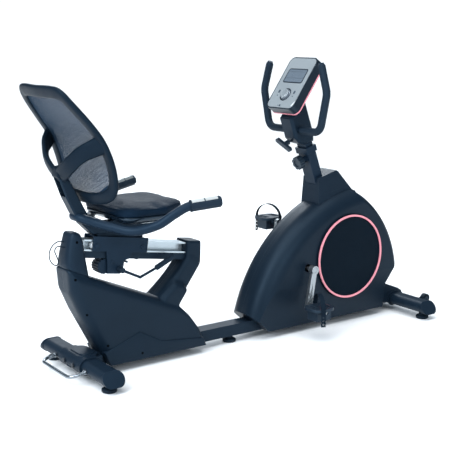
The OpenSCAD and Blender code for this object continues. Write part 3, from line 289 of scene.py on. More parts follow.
def finish_of(
    name,
    rgb,
    rough,
    metallic=0.0,
    spec=0.2,
    vary=0.18,
    vary_scale=7.0,
    grain_scale=1400.0,
    grain=0.12,
    rough_vary=0.07,
    coat=0.0,
    coat_rough=0.1,
    sheen=0.0,
    edge=0.0015,
    edge_highlight_and_wear=0.5,
    pattern=None,
    pattern_scale=300.0,
    pattern_strength=0.3,
    stretch=None,
):
    """A moulded, painted or metal finish: slow colour drift, fine grain in the normals and the gloss,
    rounded edges, and paler edges: a painted highlight along every rounded edge that also stands for wear."""
    if name in _mats:
        return _mats[name]
    m = bpy.data.materials.new(name)
    m.use_nodes = True
    t = m.node_tree
    n, l = t.nodes, t.links
    bsdf = n["Principled BSDF"]
    set_in(bsdf, "Metallic", metallic)
    set_in(bsdf, "Specular IOR Level", spec)
    if metallic < 0.2 and max(rgb) < 0.2:
        set_in(bsdf, "Specular Tint", (0.55, 0.78, 1.0, 1.0))
    set_in(bsdf, "Coat Weight", coat)
    set_in(bsdf, "Coat Roughness", coat_rough)
    set_in(bsdf, "Sheen Weight", sheen)
    tex = n.new("ShaderNodeTexCoord")
    where = tex.outputs["Object"]
    if stretch is not None:
        mp = n.new("ShaderNodeMapping")
        mp.inputs["Scale"].default_value = stretch
        l.new(where, mp.inputs["Vector"])
        grain_at = mp.outputs["Vector"]
    else:
        grain_at = where
    slow = n.new("ShaderNodeTexNoise")
    slow.inputs["Scale"].default_value = vary_scale
    slow.inputs["Detail"].default_value = 4.0
    l.new(where, slow.inputs["Vector"])
    mix = n.new("ShaderNodeMix")
    mix.data_type = "RGBA"
    mix.inputs["A"].default_value = (*[c * (1 - vary) for c in rgb], 1)
    mix.inputs["B"].default_value = (*[min(1.0, c * (1 + vary)) for c in rgb], 1)
    l.new(slow.outputs["Fac"], mix.inputs["Factor"])
    colour = mix.outputs["Result"]
    bev = n.new("ShaderNodeBevel")
    bev.samples = 4
    bev.inputs["Radius"].default_value = edge
    geo = n.new("ShaderNodeNewGeometry")
    # paler edges: a painted highlight where the bevel normal leaves the face normal, standing also for wear
    # there
    if edge_highlight_and_wear > 0:
        dot = n.new("ShaderNodeVectorMath")
        dot.operation = "DOT_PRODUCT"
        l.new(bev.outputs["Normal"], dot.inputs[0])
        l.new(geo.outputs["Normal"], dot.inputs[1])
        ramp = n.new("ShaderNodeMapRange")
        ramp.inputs["From Min"].default_value = 0.995
        ramp.inputs["From Max"].default_value = 0.86
        ramp.inputs["To Min"].default_value = 0.0
        ramp.inputs["To Max"].default_value = edge_highlight_and_wear
        l.new(dot.outputs["Value"], ramp.inputs["Value"])
        highlight_wear_mix = n.new("ShaderNodeMix")
        highlight_wear_mix.data_type = "RGBA"
        highlight_wear_mix.inputs["B"].default_value = (*[min(1.0, c * 2.2 + 0.01) for c in rgb], 1)
        l.new(ramp.outputs["Result"], highlight_wear_mix.inputs["Factor"])
        l.new(colour, highlight_wear_mix.inputs["A"])
        colour = highlight_wear_mix.outputs["Result"]
    l.new(colour, bsdf.inputs["Base Color"])
    fine = n.new("ShaderNodeTexNoise")
    fine.inputs["Scale"].default_value = grain_scale
    fine.inputs["Detail"].default_value = 2.0
    l.new(grain_at, fine.inputs["Vector"])
    mid = n.new("ShaderNodeTexNoise")
    mid.inputs["Scale"].default_value = 35.0
    mid.inputs["Detail"].default_value = 5.0
    l.new(grain_at, mid.inputs["Vector"])
    mr = n.new("ShaderNodeMapRange")
    mr.inputs["To Min"].default_value = max(0.02, rough - rough_vary)
    mr.inputs["To Max"].default_value = min(1.0, rough + rough_vary)
    l.new(mid.outputs["Fac"], mr.inputs["Value"])
    l.new(mr.outputs["Result"], bsdf.inputs["Roughness"])
    bump = n.new("ShaderNodeBump")
    bump.inputs["Strength"].default_value = grain
    bump.inputs["Distance"].default_value = 0.0005
    l.new(fine.outputs["Fac"], bump.inputs["Height"])
    l.new(bev.outputs["Normal"], bump.inputs["Normal"])
    normal = bump.outputs["Normal"]
    if pattern == "pebble":
        vor = n.new("ShaderNodeTexVoronoi")
        vor.feature = "DISTANCE_TO_EDGE"
        vor.inputs["Scale"].default_value = pattern_scale
        l.new(where, vor.inputs["Vector"])
        mr2 = n.new("ShaderNodeMapRange")
        mr2.inputs["From Max"].default_value = 0.12
        l.new(vor.outputs["Distance"], mr2.inputs["Value"])
        b2 = n.new("ShaderNodeBump")
        b2.inputs["Strength"].default_value = pattern_strength
        b2.inputs["Distance"].default_value = 0.0006
        l.new(mr2.outputs["Result"], b2.inputs["Height"])
        l.new(normal, b2.inputs["Normal"])
        normal = b2.outputs["Normal"]
    if pattern == "cells":
        vor = n.new("ShaderNodeTexVoronoi")
        vor.inputs["Scale"].default_value = pattern_scale
        l.new(where, vor.inputs["Vector"])
        b2 = n.new("ShaderNodeBump")
        b2.inputs["Strength"].default_value = pattern_strength
        b2.inputs["Distance"].default_value = 0.0008
        l.new(vor.outputs["Distance"], b2.inputs["Height"])
        l.new(normal, b2.inputs["Normal"])
        normal = b2.outputs["Normal"]
    l.new(normal, bsdf.inputs["Normal"])
    _mats[name] = m
    return m


def mesh_cloth():
    """Open knit: two families of dark threads cross at an angle, with small openings between them."""
    m = bpy.data.materials.new("open_knit")
    m.use_nodes = True
    t = m.node_tree
    n, l = t.nodes, t.links
    bsdf = n["Principled BSDF"]
    set_in(bsdf, "Specular IOR Level", 0.1)
    set_in(bsdf, "Specular Tint", (0.55, 0.78, 1.0, 1.0))
    tex = n.new("ShaderNodeTexCoord")
    sep = n.new("ShaderNodeSeparateXYZ")
    l.new(tex.outputs["Object"], sep.inputs["Vector"])

    def math_node(op, a, b=None):
        q = n.new("ShaderNodeMath")
        q.operation = op
        for i, v in enumerate([a, b]):
            if v is None:
                continue
            if isinstance(v, (int, float)):
                q.inputs[i].default_value = v
            else:
                l.new(v, q.inputs[i])
        return q.outputs["Value"]

    y, z = sep.outputs["Y"], sep.outputs["Z"]
    k = 2 * math.pi / 0.0050
    waves = []
    for sy, sz in [(0.9, 0.55), (-0.9, 0.55)]:
        phase = math_node("ADD", math_node("MULTIPLY", y, k * sy), math_node("MULTIPLY", z, k * sz))
        waves.append(math_node("SINE", phase))
    # thread height: the higher of the two waves
    high = math_node("MAXIMUM", waves[0], waves[1])
    over = n.new("ShaderNodeMapRange")
    over.interpolation_type = "SMOOTHSTEP"
    over.inputs["From Min"].default_value = -0.30
    over.inputs["From Max"].default_value = -0.04
    l.new(high, over.inputs["Value"])
    l.new(over.outputs["Result"], bsdf.inputs["Alpha"])
    slow = n.new("ShaderNodeTexNoise")
    slow.inputs["Scale"].default_value = 14.0
    slow.inputs["Detail"].default_value = 3.0
    l.new(tex.outputs["Object"], slow.inputs["Vector"])
    mix = n.new("ShaderNodeMix")
    mix.data_type = "RGBA"
    mix.inputs["A"].default_value = (0.010, 0.024, 0.046, 1)
    mix.inputs["B"].default_value = (0.018, 0.038, 0.068, 1)
    l.new(slow.outputs["Fac"], mix.inputs["Factor"])
    # painted shade and highlight: the thread colour is darker where the threads sink and lighter on their
    # crowns
    weave_shade_and_highlight = n.new("ShaderNodeMapRange")
    weave_shade_and_highlight.inputs["From Min"].default_value = -0.6
    weave_shade_and_highlight.inputs["From Max"].default_value = 0.9
    weave_shade_and_highlight.inputs["To Min"].default_value = 0.45
    weave_shade_and_highlight.inputs["To Max"].default_value = 1.15
    l.new(high, weave_shade_and_highlight.inputs["Value"])
    mul = n.new("ShaderNodeVectorMath")
    mul.operation = "SCALE"
    l.new(mix.outputs["Result"], mul.inputs[0])
    l.new(weave_shade_and_highlight.outputs["Result"], mul.inputs["Scale"])
    l.new(mul.outputs["Vector"], bsdf.inputs["Base Color"])
    rough = n.new("ShaderNodeMapRange")
    rough.inputs["To Min"].default_value = 0.6
    rough.inputs["To Max"].default_value = 0.85
    l.new(slow.outputs["Fac"], rough.inputs["Value"])
    l.new(rough.outputs["Result"], bsdf.inputs["Roughness"])
    bump = n.new("ShaderNodeBump")
    bump.inputs["Strength"].default_value = 0.6
    bump.inputs["Distance"].default_value = 0.0006
    l.new(high, bump.inputs["Height"])
    l.new(bump.outputs["Normal"], bsdf.inputs["Normal"])
    return m


SHELL = (0.0042, 0.0098, 0.0180)
M = {
    "frame_steel": finish_of("powder_coat", (0.0064, 0.0134, 0.0235), 0.44, spec=0.18, grain_scale=520,
                             grain=0.22),
    "dark_steel": finish_of("powder_coat_b", (0.0062, 0.0145, 0.0275), 0.42, spec=0.17, grain_scale=520,
                            grain=0.2),
    "shell": finish_of("shell_plastic", SHELL, 0.40, spec=0.19, pattern="pebble", pattern_scale=620,
                       pattern_strength=0.06),
    "cover": finish_of("cover_plastic", (0.0058, 0.0124, 0.0220), 0.44, spec=0.16, pattern="pebble",
                       pattern_scale=620, pattern_strength=0.06),
    "disc": finish_of("disc_plastic", (0.0022, 0.0062, 0.0115), 0.60, spec=0.07, pattern="pebble",
                      pattern_scale=540, pattern_strength=0.1),
    "trim": finish_of("trim_pink", (0.78, 0.27, 0.32), 0.38, spec=0.5, vary=0.10, vary_scale=60, edge_highlight_and_wear=0.15,
                      grain=0.05, edge=0.001),
    "foot_rubber": finish_of("foot_rubber", (0.0055, 0.0105, 0.0175), 0.62, spec=0.18, grain_scale=800,
                             grain=0.25),
    "chrome": finish_of("chrome", (0.42, 0.46, 0.49), 0.22, metallic=1.0, vary=0.04, grain=0.02,
                        rough_vary=0.04, edge_highlight_and_wear=0.0, edge=0.001),
    "aluminium": finish_of("brushed_aluminium", (0.50, 0.57, 0.61), 0.34, metallic=0.85, vary=0.05, spec=0.5,
                           grain_scale=900, grain=0.10, edge_highlight_and_wear=0.2, edge=0.0006, stretch=(0.03, 1.0, 1.0)),
    "bolt_steel": finish_of("black_zinc_bolt", (0.030, 0.036, 0.044), 0.35, metallic=0.6, vary=0.1,
                            grain=0.08, edge_highlight_and_wear=0.3),
    "inner_steel": finish_of("primer", (0.10, 0.11, 0.12), 0.6, grain=0.15),
    "flywheel_iron": finish_of("turned_iron", (0.26, 0.27, 0.29), 0.42, metallic=1.0, grain=0.1, vary=0.15),
    "crank_alloy": finish_of("crank_alloy", (0.36, 0.39, 0.41), 0.33, metallic=0.95, vary=0.06, grain=0.05,
                             edge_highlight_and_wear=0.2, edge=0.0018),
    "axle_steel": finish_of("ground_steel", (0.40, 0.42, 0.45), 0.3, metallic=1.0, grain=0.05, vary=0.08),
    "pedal_plastic": finish_of("pedal_plastic", (0.0110, 0.0190, 0.0300), 0.42, spec=0.32, grain_scale=900,
                               grain=0.2),
    "strap_rubber": finish_of("strap_rubber", (0.0050, 0.0100, 0.0170), 0.72, spec=0.08, grain_scale=700,
                              grain=0.2),
    "foam": finish_of("foam_rubber", (0.0080, 0.0150, 0.0250), 0.62, spec=0.2, pattern="cells",
                      pattern_scale=650, pattern_strength=0.35, vary=0.2, edge=0.002, edge_highlight_and_wear=0.2),
    "lead": finish_of("lead_sheath", (0.0060, 0.0110, 0.0180), 0.4, spec=0.3, grain=0.1, edge=0.0005,
                      edge_highlight_and_wear=0.0),
    "knob": finish_of("knob_plastic", (0.0060, 0.0115, 0.0190), 0.38, spec=0.38, grain_scale=900, grain=0.18),
    "console_black": finish_of("console_black", (0.0050, 0.0095, 0.0160), 0.33, spec=0.32, grain=0.08),
    "console_grey": finish_of("console_silver", (0.265, 0.295, 0.315), 0.38, metallic=0.25, spec=0.5,
                              vary=0.06, grain_scale=2200, grain=0.08, edge_highlight_and_wear=0.2, edge=0.001),
    "dial_silver": finish_of("dial_silver", (0.55, 0.60, 0.66), 0.28, metallic=0.8, vary=0.05, grain=0.05,
                             edge_highlight_and_wear=0.25, edge=0.001),
    "dial_face": finish_of("dial_face", (0.25, 0.28, 0.30), 0.3, metallic=0.3, vary=0.05, grain=0.05,
                           edge_highlight_and_wear=0.25, edge=0.001),
    "key_grey": finish_of("key_rubber", (0.05, 0.065, 0.085), 0.5, spec=0.4, grain=0.12, edge=0.001),
    "nylon": finish_of("white_nylon", (0.78, 0.81, 0.83), 0.4, vary=0.04, grain=0.05, edge_highlight_and_wear=0.1),
    "seat_plastic": finish_of("seat_pan", (0.0040, 0.0085, 0.0150), 0.22, spec=0.45, grain=0.05, coat=0.1),
    "vinyl": finish_of("seat_vinyl", (0.0035, 0.0105, 0.0220), 0.54, spec=0.07, pattern="pebble",
                       pattern_scale=430, pattern_strength=0.28, grain_scale=1500, grain=0.15, vary=0.2,
                       edge=0.002, edge_highlight_and_wear=0.25),
    "back_plastic": finish_of("back_plastic", (0.0040, 0.0090, 0.0162), 0.44, spec=0.10, pattern="pebble",
                              pattern_scale=620, pattern_strength=0.05),
    "mesh": mesh_cloth(),
    "belt_rubber": finish_of("belt_rubber", (0.012, 0.013, 0.015), 0.6, grain=0.2),
    "lcd": finish_of("lcd_glass", (0.10, 0.125, 0.155), 0.16, spec=0.6, vary=0.1, grain=0.01, coat=0.6,
                     coat_rough=0.06, edge_highlight_and_wear=0.0, edge=0.0005),
    "accent": finish_of("pale_accent", (0.75, 0.78, 0.80), 0.35, vary=0.04, grain=0.04, edge_highlight_and_wear=0.0,
                        edge=0.0005),
    "thread": finish_of("seam_thread", (0.035, 0.046, 0.062), 0.6, grain_scale=2500, grain=0.3, edge_highlight_and_wear=0.0,
                        edge=0.0003),
    # painted shade: a near-black colour that stands for the dark inside of the screw holes
    "hole": finish_of("screw_hole_painted_shade", (0.001, 0.0015, 0.002), 0.9, spec=0.0, grain=0.1, edge_highlight_and_wear=0.0,
                      edge=0.0003),
}

M["handle"] = finish_of("chrome_handle", (0.26, 0.29, 0.32), 0.16, metallic=1.0, vary=0.06, grain=0.03,
                        edge_highlight_and_wear=0.0, edge=0.001)

M["plate"] = finish_of("satin_plate", (0.34, 0.36, 0.36), 0.46, metallic=0.9, vary=0.06, grain=0.06, edge_highlight_and_wear=0.2,
                       edge=0.001)
FINISH = {"carry_handle": "handle", "pulse_plates": "plate"}

for sp in frame["record"]["subparts"]:
    o = nodes[sp["node"]]
    o.data.materials.clear()
    o.data.materials.append(M[FINISH.get(sp["node"], sp["material_slot"])])

# ---------------------------------------------------------------- camera, light, floor

cam_data = bpy.data.cameras.new("camera")
cam_data.sensor_width = 36.0
cam_data.lens = 77.28
cam_data.clip_end = 200
cam = bpy.data.objects.new("camera", cam_data)
cam.location = (-2.20333, -2.96293, 1.19159)
cam.rotation_euler = (math.radians(90 - 11.324), 0.0, math.radians(-35.528))
coll.objects.link(cam)
scene.camera = cam

scene.view_settings.view_transform = "Standard"
scene.view_settings.look = "None"
scene.view_settings.exposure = 0.0

world = bpy.data.worlds.new("studio")
scene.world = world
world.use_nodes = True
wt = world.node_tree
bg = wt.nodes["Background"]
w_at = wt.nodes.new("ShaderNodeTexCoord")
w_sep = wt.nodes.new("ShaderNodeSeparateXYZ")
w_ramp = wt.nodes.new("ShaderNodeValToRGB")
wt.links.new(w_at.outputs["Generated"], w_sep.inputs["Vector"])
wt.links.new(w_sep.outputs["Z"], w_ramp.inputs["Fac"])
w_ramp.color_ramp.elements[0].position = 0.0
w_ramp.color_ramp.elements[0].color = (0.16, 0.20, 0.24, 1)
w_ramp.color_ramp.elements[1].position = 0.95
w_ramp.color_ramp.elements[1].color = (0.80, 0.91, 1.0, 1)
for w_pos, w_col in [(0.22, (0.10, 0.13, 0.16, 1)), (0.50, (0.40, 0.49, 0.56, 1))]:
    w_ramp.color_ramp.elements.new(w_pos).color = w_col
wt.links.new(w_ramp.outputs["Color"], bg.inputs["Color"])
bg.inputs["Strength"].default_value = 0.8
white = wt.nodes.new("ShaderNodeBackground")
white.inputs["Color"].default_value = (1, 1, 1, 1)
white.inputs["Strength"].default_value = 1.05
path = wt.nodes.new("ShaderNodeLightPath")
pick = wt.nodes.new("ShaderNodeMixShader")
wt.links.new(path.outputs["Is Camera Ray"], pick.inputs[0])
wt.links.new(bg.outputs["Background"], pick.inputs[1])
wt.links.new(white.outputs["Background"], pick.inputs[2])
wt.links.new(pick.outputs["Shader"], wt.nodes["World Output"].inputs["Surface"])


def aim(o, target):
    """Turns a light towards a point."""
    d = Vector(target) - o.location
    o.rotation_euler = d.to_track_quat("-Z", "Y").to_euler()


def area(name, at, target, size, power, colour=(1, 1, 1)):
    """A rectangular soft light."""
    d = bpy.data.lights.new(name, "AREA")
    d.shape = "RECTANGLE"
    d.size, d.size_y = size
    d.energy = power
    d.color = colour
    o = bpy.data.objects.new(name, d)
    o.location = at
    coll.objects.link(o)
    aim(o, target)
    return o


sun_data = bpy.data.lights.new("sky_panel", "SUN")
sun_data.energy = 2.6
sun_data.angle = math.radians(60)
sun_data.color = (0.97, 0.985, 1.0)
sun = bpy.data.objects.new("sky_panel", sun_data)
sun.location = (0, 0, 4)
sun.rotation_euler = (math.radians(12), math.radians(-18), 0)
coll.objects.link(sun)
area("key_left", (-3.4, -1.2, 2.3), (0, 0, 0.55), (1.8, 2.4), 120, (0.84, 0.92, 1.0))
area("front_fill", (-0.6, -4.2, 1.9), (0.1, 0, 0.5), (2.6, 1.6), 60, (0.88, 0.94, 1.0))
area("far_rim", (1.6, 3.2, 2.4), (0.2, 0, 0.6), (2.4, 1.2), 70, (0.9, 0.95, 1.0))

floor_mat = bpy.data.materials.new("pale_floor")
floor_mat.use_nodes = True
ft = floor_mat.node_tree
fb = ft.nodes["Principled BSDF"]
set_in(fb, "Specular IOR Level", 0.1)
set_in(fb, "Roughness", 0.9)
fn = ft.nodes.new("ShaderNodeTexNoise")
fn.inputs["Scale"].default_value = 3.0
fm = ft.nodes.new("ShaderNodeMix")
fm.data_type = "RGBA"
fm.inputs["A"].default_value = (0.90, 0.905, 0.91, 1)
fm.inputs["B"].default_value = (0.93, 0.935, 0.94, 1)
ft.links.new(fn.outputs["Fac"], fm.inputs["Factor"])
ft.links.new(fm.outputs["Result"], fb.inputs["Base Color"])
fl_me = bpy.data.meshes.new("floor")
fl_me.from_pydata([(-60, -60, 0), (60, -60, 0), (60, 60, 0), (-60, 60, 0)], [], [(0, 1, 2, 3)])
floor = bpy.data.objects.new("floor", fl_me)
fl_me.materials.append(floor_mat)
coll.objects.link(floor)

# ---------------------------------------------------------------- pulse lead (a cord)

lead = [(-34, 4, 486), (-48, 4, 486), (-66, 6, 489), (-86, 9, 478), (-98, 12, 456), (-98, 14, 430),
        (-86, 15, 410), (-72, 14, 404), (-68, 10, 418), (-76, 5, 438), (-84, 1, 456), (-82, -3, 470),
        (-70, -5, 474), (-50, -6, 468), (-36, -6, 468)]
lead_line = catmull(lead, 5)
cd = bpy.data.curves.new("pulse_cord", "CURVE")
cd.dimensions = "3D"
cd.bevel_depth = 0.002
cd.bevel_resolution = 4
cd.use_fill_caps = True
sp = cd.splines.new("POLY")
sp.points.add(len(lead_line) - 1)
for i, q in enumerate(PN(lead_line)):
    sp.points[i].co = (*q, 1)
cord_obj = bpy.data.objects.new("pulse_cord", cd)
cd.materials.append(M["lead"])
coll.objects.link(cord_obj)
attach(cord_obj, "frame")
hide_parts("pulse_lead")

# ---------------------------------------------------------------- seat back

back_side = [(-122, -92, 1002), (-112, -138, 995), (-87, -162, 961), (-41, -182, 903), (-1, -189, 848),
             (26, -191, 790), (42, -189, 735), (48, -181, 690), (44, -154, 658), (32, -92, 641)]
back_loop = [(-127, 0, 1001)] + back_side + [(25, 0, 637)] + [(x, -y, z) for x, y, z in reversed(back_side)]
# a direction across the band of the back, about square to its plane
BACK_REF = (1, 0, 0.45)
band = catmull(back_loop, 9, closed=True)
back_frame = swept("back_frame_band", band, superellipse(22, 10, 2.7, 32), BACK_REF, M["back_plastic"],
                   closed=True,
                   angle=None)
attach(back_frame, "seat")
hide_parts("back_frame")

rows = [(-121, 102, 1000, 6), (-98, 150, 974, 12), (-42, 178, 902, 16), (-2, 186, 848, 16),
        (25, 188, 790, 16),
        (41, 187, 735, 16), (47, 178, 692, 14), (42, 148, 660, 10), (30, 92, 643, 5)]
rr = catmull(rows, 8)
cols = 48
verts, faces = [], []
for r in rr:
    for k in range(cols + 1):
        f = 2 * k / cols - 1
        verts.append((r[0] - r[3] * (1 - f * f), r[1] * f, r[2]))
for i in range(len(rr) - 1):
    for k in range(cols):
        a = i * (cols + 1) + k
        faces.append((a, a + 1, a + cols + 2, a + cols + 1))
back_mesh = mesh_object("back_mesh_cloth", PN(verts), faces, M["mesh"], None)
sol = back_mesh.modifiers.new("thickness", "SOLIDIFY")
sol.thickness = 0.0004
sol.offset = 0.0
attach(back_mesh, "seat")
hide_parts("back_mesh")

yoke_arm = [(-58, 0, 716), (-62, -40, 732), (-60, -90, 764), (-42, -136, 800), (-15, -170, 821),
            (6, -194, 836)]

full_arm = catmull([(x, -y, z) for x, y, z in reversed(yoke_arm[1:])] + yoke_arm, 10)
widen = [1.0 + 0.22 * min(1.0, max(0.0, (abs(q[1]) - 110) / 80.0)) ** 2 for q in full_arm]
yoke = swept("back_yoke_arms", full_arm, superellipse(27, 10.5, 2.3, 32), (0.9, 0, 0.44), M["back_plastic"],
             scales=widen, angle=60)
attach(yoke, "seat")
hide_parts("back_yoke")


def bevelled_prism(name, outline_xz, y0, y1, mat, bevel=3.0, segments=4, angle=30):
    """An outline drawn as (X, Z) in design mm, thick from y0 to y1, with rounded edges."""
    n = len(outline_xz)
    verts = [(x, y0, z) for x, z in outline_xz] + [(x, y1, z) for x, z in outline_xz]
    faces = [tuple(range(n)), tuple(n + k for k in range(n))[::-1]]
    faces += [(k, (k + 1) % n, n + (k + 1) % n, n + k) for k in range(n)]
    me = bpy.data.meshes.new(name)
    me.from_pydata([tuple(p) for p in PN(verts)], [], faces)
    bm = bmesh.new()
    bm.from_mesh(me)
    bmesh.ops.recalc_face_normals(bm, faces=bm.faces)
    bmesh.ops.bevel(bm, geom=list(bm.edges), offset=bevel / 1000, segments=segments, profile=0.5,
                    affect="EDGES", clamp_overlap=True)
    bm.to_mesh(me)
    bm.free()
    smooth_faces(me, angle)
    me.materials.append(mat)
    o = bpy.data.objects.new(name, me)
    coll.objects.link(o)
    return o


hub = bevelled_prism("back_hub", [(-76, 712), (-36, 699), (-29, 722), (-45, 750), (-74, 746)], -25, 25,
                     M["back_plastic"], 5)
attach(hub, "seat")

# ---------------------------------------------------------------- seat tube

arm_line = [(6, -30, 566), (42, -62, 552), (84, -104, 538), (134, -160, 528), (190, -222, 552),
            (240, -250, 588), (295, -262, 613), (380, -291, 623)]
seat_line = [(x, -y, z) for x, y, z in reversed(arm_line)] + [(-2, 0, 570)] + arm_line
seat_tube = swept("seat_tube_bent", catmull(seat_line, 9), superellipse(16, 16, 2, 32), (0, 0, 1),
                  M["dark_steel"], angle=60)
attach(seat_tube, "seat")
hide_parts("seat_tube")

# ---------------------------------------------------------------- seat cushion and pan

# discs whose common outline is the seat's: x, y, radius
DISCS = [(157, 106, 60), (157, -106, 60), (245, 94, 74), (245, -94, 74), (303, 52, 80), (303, -52, 80)]


def plan(inset, n=96):
    """Outline of the seat, moved inwards, as n points at even steps along it."""
    pts = []
    for k in range(720):
        a = 2 * math.pi * k / 720
        u = np.array([math.cos(a), math.sin(a)])
        x, y, r = max(DISCS, key=lambda d: d[0] * u[0] + d[1] * u[1] + d[2])
        pts.append(np.array([x, y]) + (r - inset) * u)
    pts = np.array(pts + [pts[0]])
    d = np.r_[0, np.cumsum(np.linalg.norm(np.diff(pts, axis=0), axis=1))]
    at = np.linspace(0, d[-1], n, endpoint=False)
    return np.stack([np.interp(at, d, pts[:, k]) for k in range(2)], 1)


def loft(rings, cap_first=True, cap_last=True):
    """A skin over rings of equally many points."""
    m = len(rings[0])
    verts = [tuple(p) for r in rings for p in r]
    faces = []
    for i in range(len(rings) - 1):
        for k in range(m):
            q = (k + 1) % m
            faces.append((i * m + k, i * m + q, (i + 1) * m + q, (i + 1) * m + k))
    for yes, i in [(cap_first, 0), (cap_last, len(rings) - 1)]:
        if yes:
            verts.append(tuple(np.mean(np.array(rings[i]), axis=0)))
            c = len(verts) - 1
            for k in range(m):
                faces.append((c, i * m + k, i * m + (k + 1) % m))
    return verts, faces


def contour(x, y):
    """Height of the seat's top over its seam: raised at the back and at the thighs, lower between."""
    aside = abs(y) / 130.0
    e = 5.0 * math.exp(-((x - 140) / 45.0) ** 2)
    e += 4.5 * math.exp(-((x - 322) / 42.0) ** 2) * (0.5 + aside)
    return e - 3.5 * math.exp(-((x - 232) / 50.0) ** 2) + 2.5 * aside**2


centre = np.array([238.0, 0.0])
rings = []
for z, ins in [(572.3, 9), (575, 4.5), (582, 2.5), (590, 3.0), (596, 5.0), (600, 8.5)]:
    rings.append([(p[0], p[1], z + (0.35 * contour(p[0], p[1]) if z > 588 else 0)) for p in plan(ins)])
edge_ring = plan(8.5)
for k in range(1, 12):
    s = 1 - k / 12.0
    ring = []
    for p in edge_ring:
        q = centre + (p - centre) * s
        top = 600 + 12.0 * (1 - s**3.2) + contour(q[0], q[1]) * min(1.0, 0.35 + 2.2 * (1 - s))
        ring.append((q[0], q[1], top))
    rings.append(ring)
v, f = loft(rings)
cushion = mesh_object("seat_cushion_pad", PN(v), f, M["vinyl"], None)


def seam_points():
    """The line of the piping, just above the edge of the seat."""
    return [(p[0], p[1], 597.5 + 0.35 * contour(p[0], p[1])) for p in plan(5.2, 160)]


def inflate(o, voxel, pressure, cap, frames=20):
    """Cloth under air pressure, with a limit on how far a point moves; the result becomes the mesh."""
    bpy.context.view_layer.objects.active = o
    for q in bpy.context.selected_objects:
        q.select_set(False)
    o.select_set(True)
    rm = o.modifiers.new("remesh", "REMESH")
    rm.mode = "VOXEL"
    rm.voxel_size = voxel
    bpy.ops.object.modifier_apply(modifier=rm.name)
    before = np.zeros(len(o.data.vertices) * 3)
    o.data.vertices.foreach_get("co", before)
    before = before.reshape(-1, 3)
    cl = o.modifiers.new("cloth", "CLOTH")
    cl.settings.quality = 6
    cl.settings.mass = 0.3
    cl.settings.tension_stiffness = 40
    cl.settings.compression_stiffness = 40
    cl.settings.bending_stiffness = 12.0
    cl.settings.use_pressure = True
    cl.settings.uniform_pressure_force = pressure
    cl.settings.effector_weights.gravity = 0.0
    cl.collision_settings.use_collision = False
    low = before[:, 2].min()
    group = o.vertex_groups.new(name="held")
    group.add([int(i) for i in np.where(before[:, 2] < low + 0.004)[0]], 1.0, "REPLACE")
    cl.settings.vertex_group_mass = "held"
    for fr in range(1, frames + 1):
        scene.frame_set(fr)
    bpy.ops.object.modifier_apply(modifier=cl.name)
    scene.frame_set(1)
    after = np.zeros(len(o.data.vertices) * 3)
    o.data.vertices.foreach_get("co", after)
    move = after.reshape(-1, 3) - before
    size = np.linalg.norm(move, axis=1)
    share = np.minimum(1.0, cap / np.maximum(size, 1e-9))
    o.data.vertices.foreach_set("co", (before + move * share[:, None]).ravel())
    o.data.update()
    o.vertex_groups.clear()
    sub = o.modifiers.new("soft", "SUBSURF")
    sub.levels = sub.render_levels = 1
    bpy.ops.object.modifier_apply(modifier=sub.name)
    for p in o.data.polygons:
        p.use_smooth = True


inflate(cushion, 0.005, 2.2, 0.005)
tree = BVHTree.FromObject(cushion, bpy.context.evaluated_depsgraph_get())
line = []
for q in seam_points():
    hit = tree.find_nearest(Vector(P(*q)))
    line.append(np.array(hit[0] + hit[1] * 0.0003))
line = np.array(line)
for _ in range(3):
    line = (np.roll(line, 1, axis=0) + 2 * line + np.roll(line, -1, axis=0)) / 4
v, f = sweep(line, [(0.0016 * math.cos(a), 0.0016 * math.sin(a)) for a in np.linspace(0, 2 * math.pi,
                                                                                      10)[:-1]],
             (0, 0, 1), closed=True)
piping = mesh_object("seat_piping", v, f, M["vinyl"], None)
# a groove of stitches just inside the piping
stitch_v, stitch_f = [], []
inner = []
for q in [(p[0], p[1], 604 + 0.7 * contour(p[0], p[1])) for p in plan(16, 150)]:
    hit = tree.find_nearest(Vector(P(*q)))
    inner.append(np.array(hit[0] + hit[1] * 0.0004))
inner = np.array(inner)
for i in range(0, len(inner)):
    a, b = inner[i], inner[(i + 1) % len(inner)]
    a2, b2 = a + (b - a) * 0.14, a + (b - a) * 0.86
    seg = np.array([a2, (a2 + b2) / 2 + np.array([0, 0, 0.0003]), b2])
    vv, ff = sweep(seg, [(0.0006 * math.cos(t), 0.0006 * math.sin(t)) for t in np.linspace(0, 2 * math.pi,
                                                                                           7)[:-1]],
                   (0.01, 0.02, 1))
    k = len(stitch_v)
    stitch_v += list(vv)
    stitch_f += [tuple(j + k for j in q) for q in ff]
stitches = mesh_object("seat_stitches", stitch_v, stitch_f, M["thread"], None)
for o in (cushion, piping, stitches):
    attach(o, "seat")
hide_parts("seat_cushion")

pan = []
for ins, z in [(7, 572.0), (5, 570.5), (4.5, 568), (6, 563), (10, 557.5), (17, 551.5), (27, 546.5),
               (38, 543.6),
               (52, 542.2)]:
    pan.append([(p[0], p[1], z) for p in plan(ins)])
v, f = loft(pan)
seat_pan = mesh_object("seat_pan_shell", PN(v), f, M["seat_plastic"], 60)
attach(seat_pan, "seat")
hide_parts("seat_base")

# ---------------------------------------------------------------- rear shells and column cover


def push_edges(outline, inset):
    """A convex outline in (X, Z) with each edge moved inwards by its own distance."""
    n = len(outline)
    p = np.array(outline, float)
    c = p.mean(axis=0)
    lines = []
    for i in range(n):
        a, b = p[i], p[(i + 1) % n]
        t = (b - a) / np.linalg.norm(b - a)
        q = np.array([-t[1], t[0]])
        if (c - a) @ q < 0:
            q = -q
        lines.append((a + q * inset[i], t))
    out = []
    for i in range(n):
        (a, t), (b, u) = lines[i - 1], lines[i]
        k = np.linalg.solve(np.array([t, -u]).T, b - a)
        out.append(a + t * k[0])
    return out


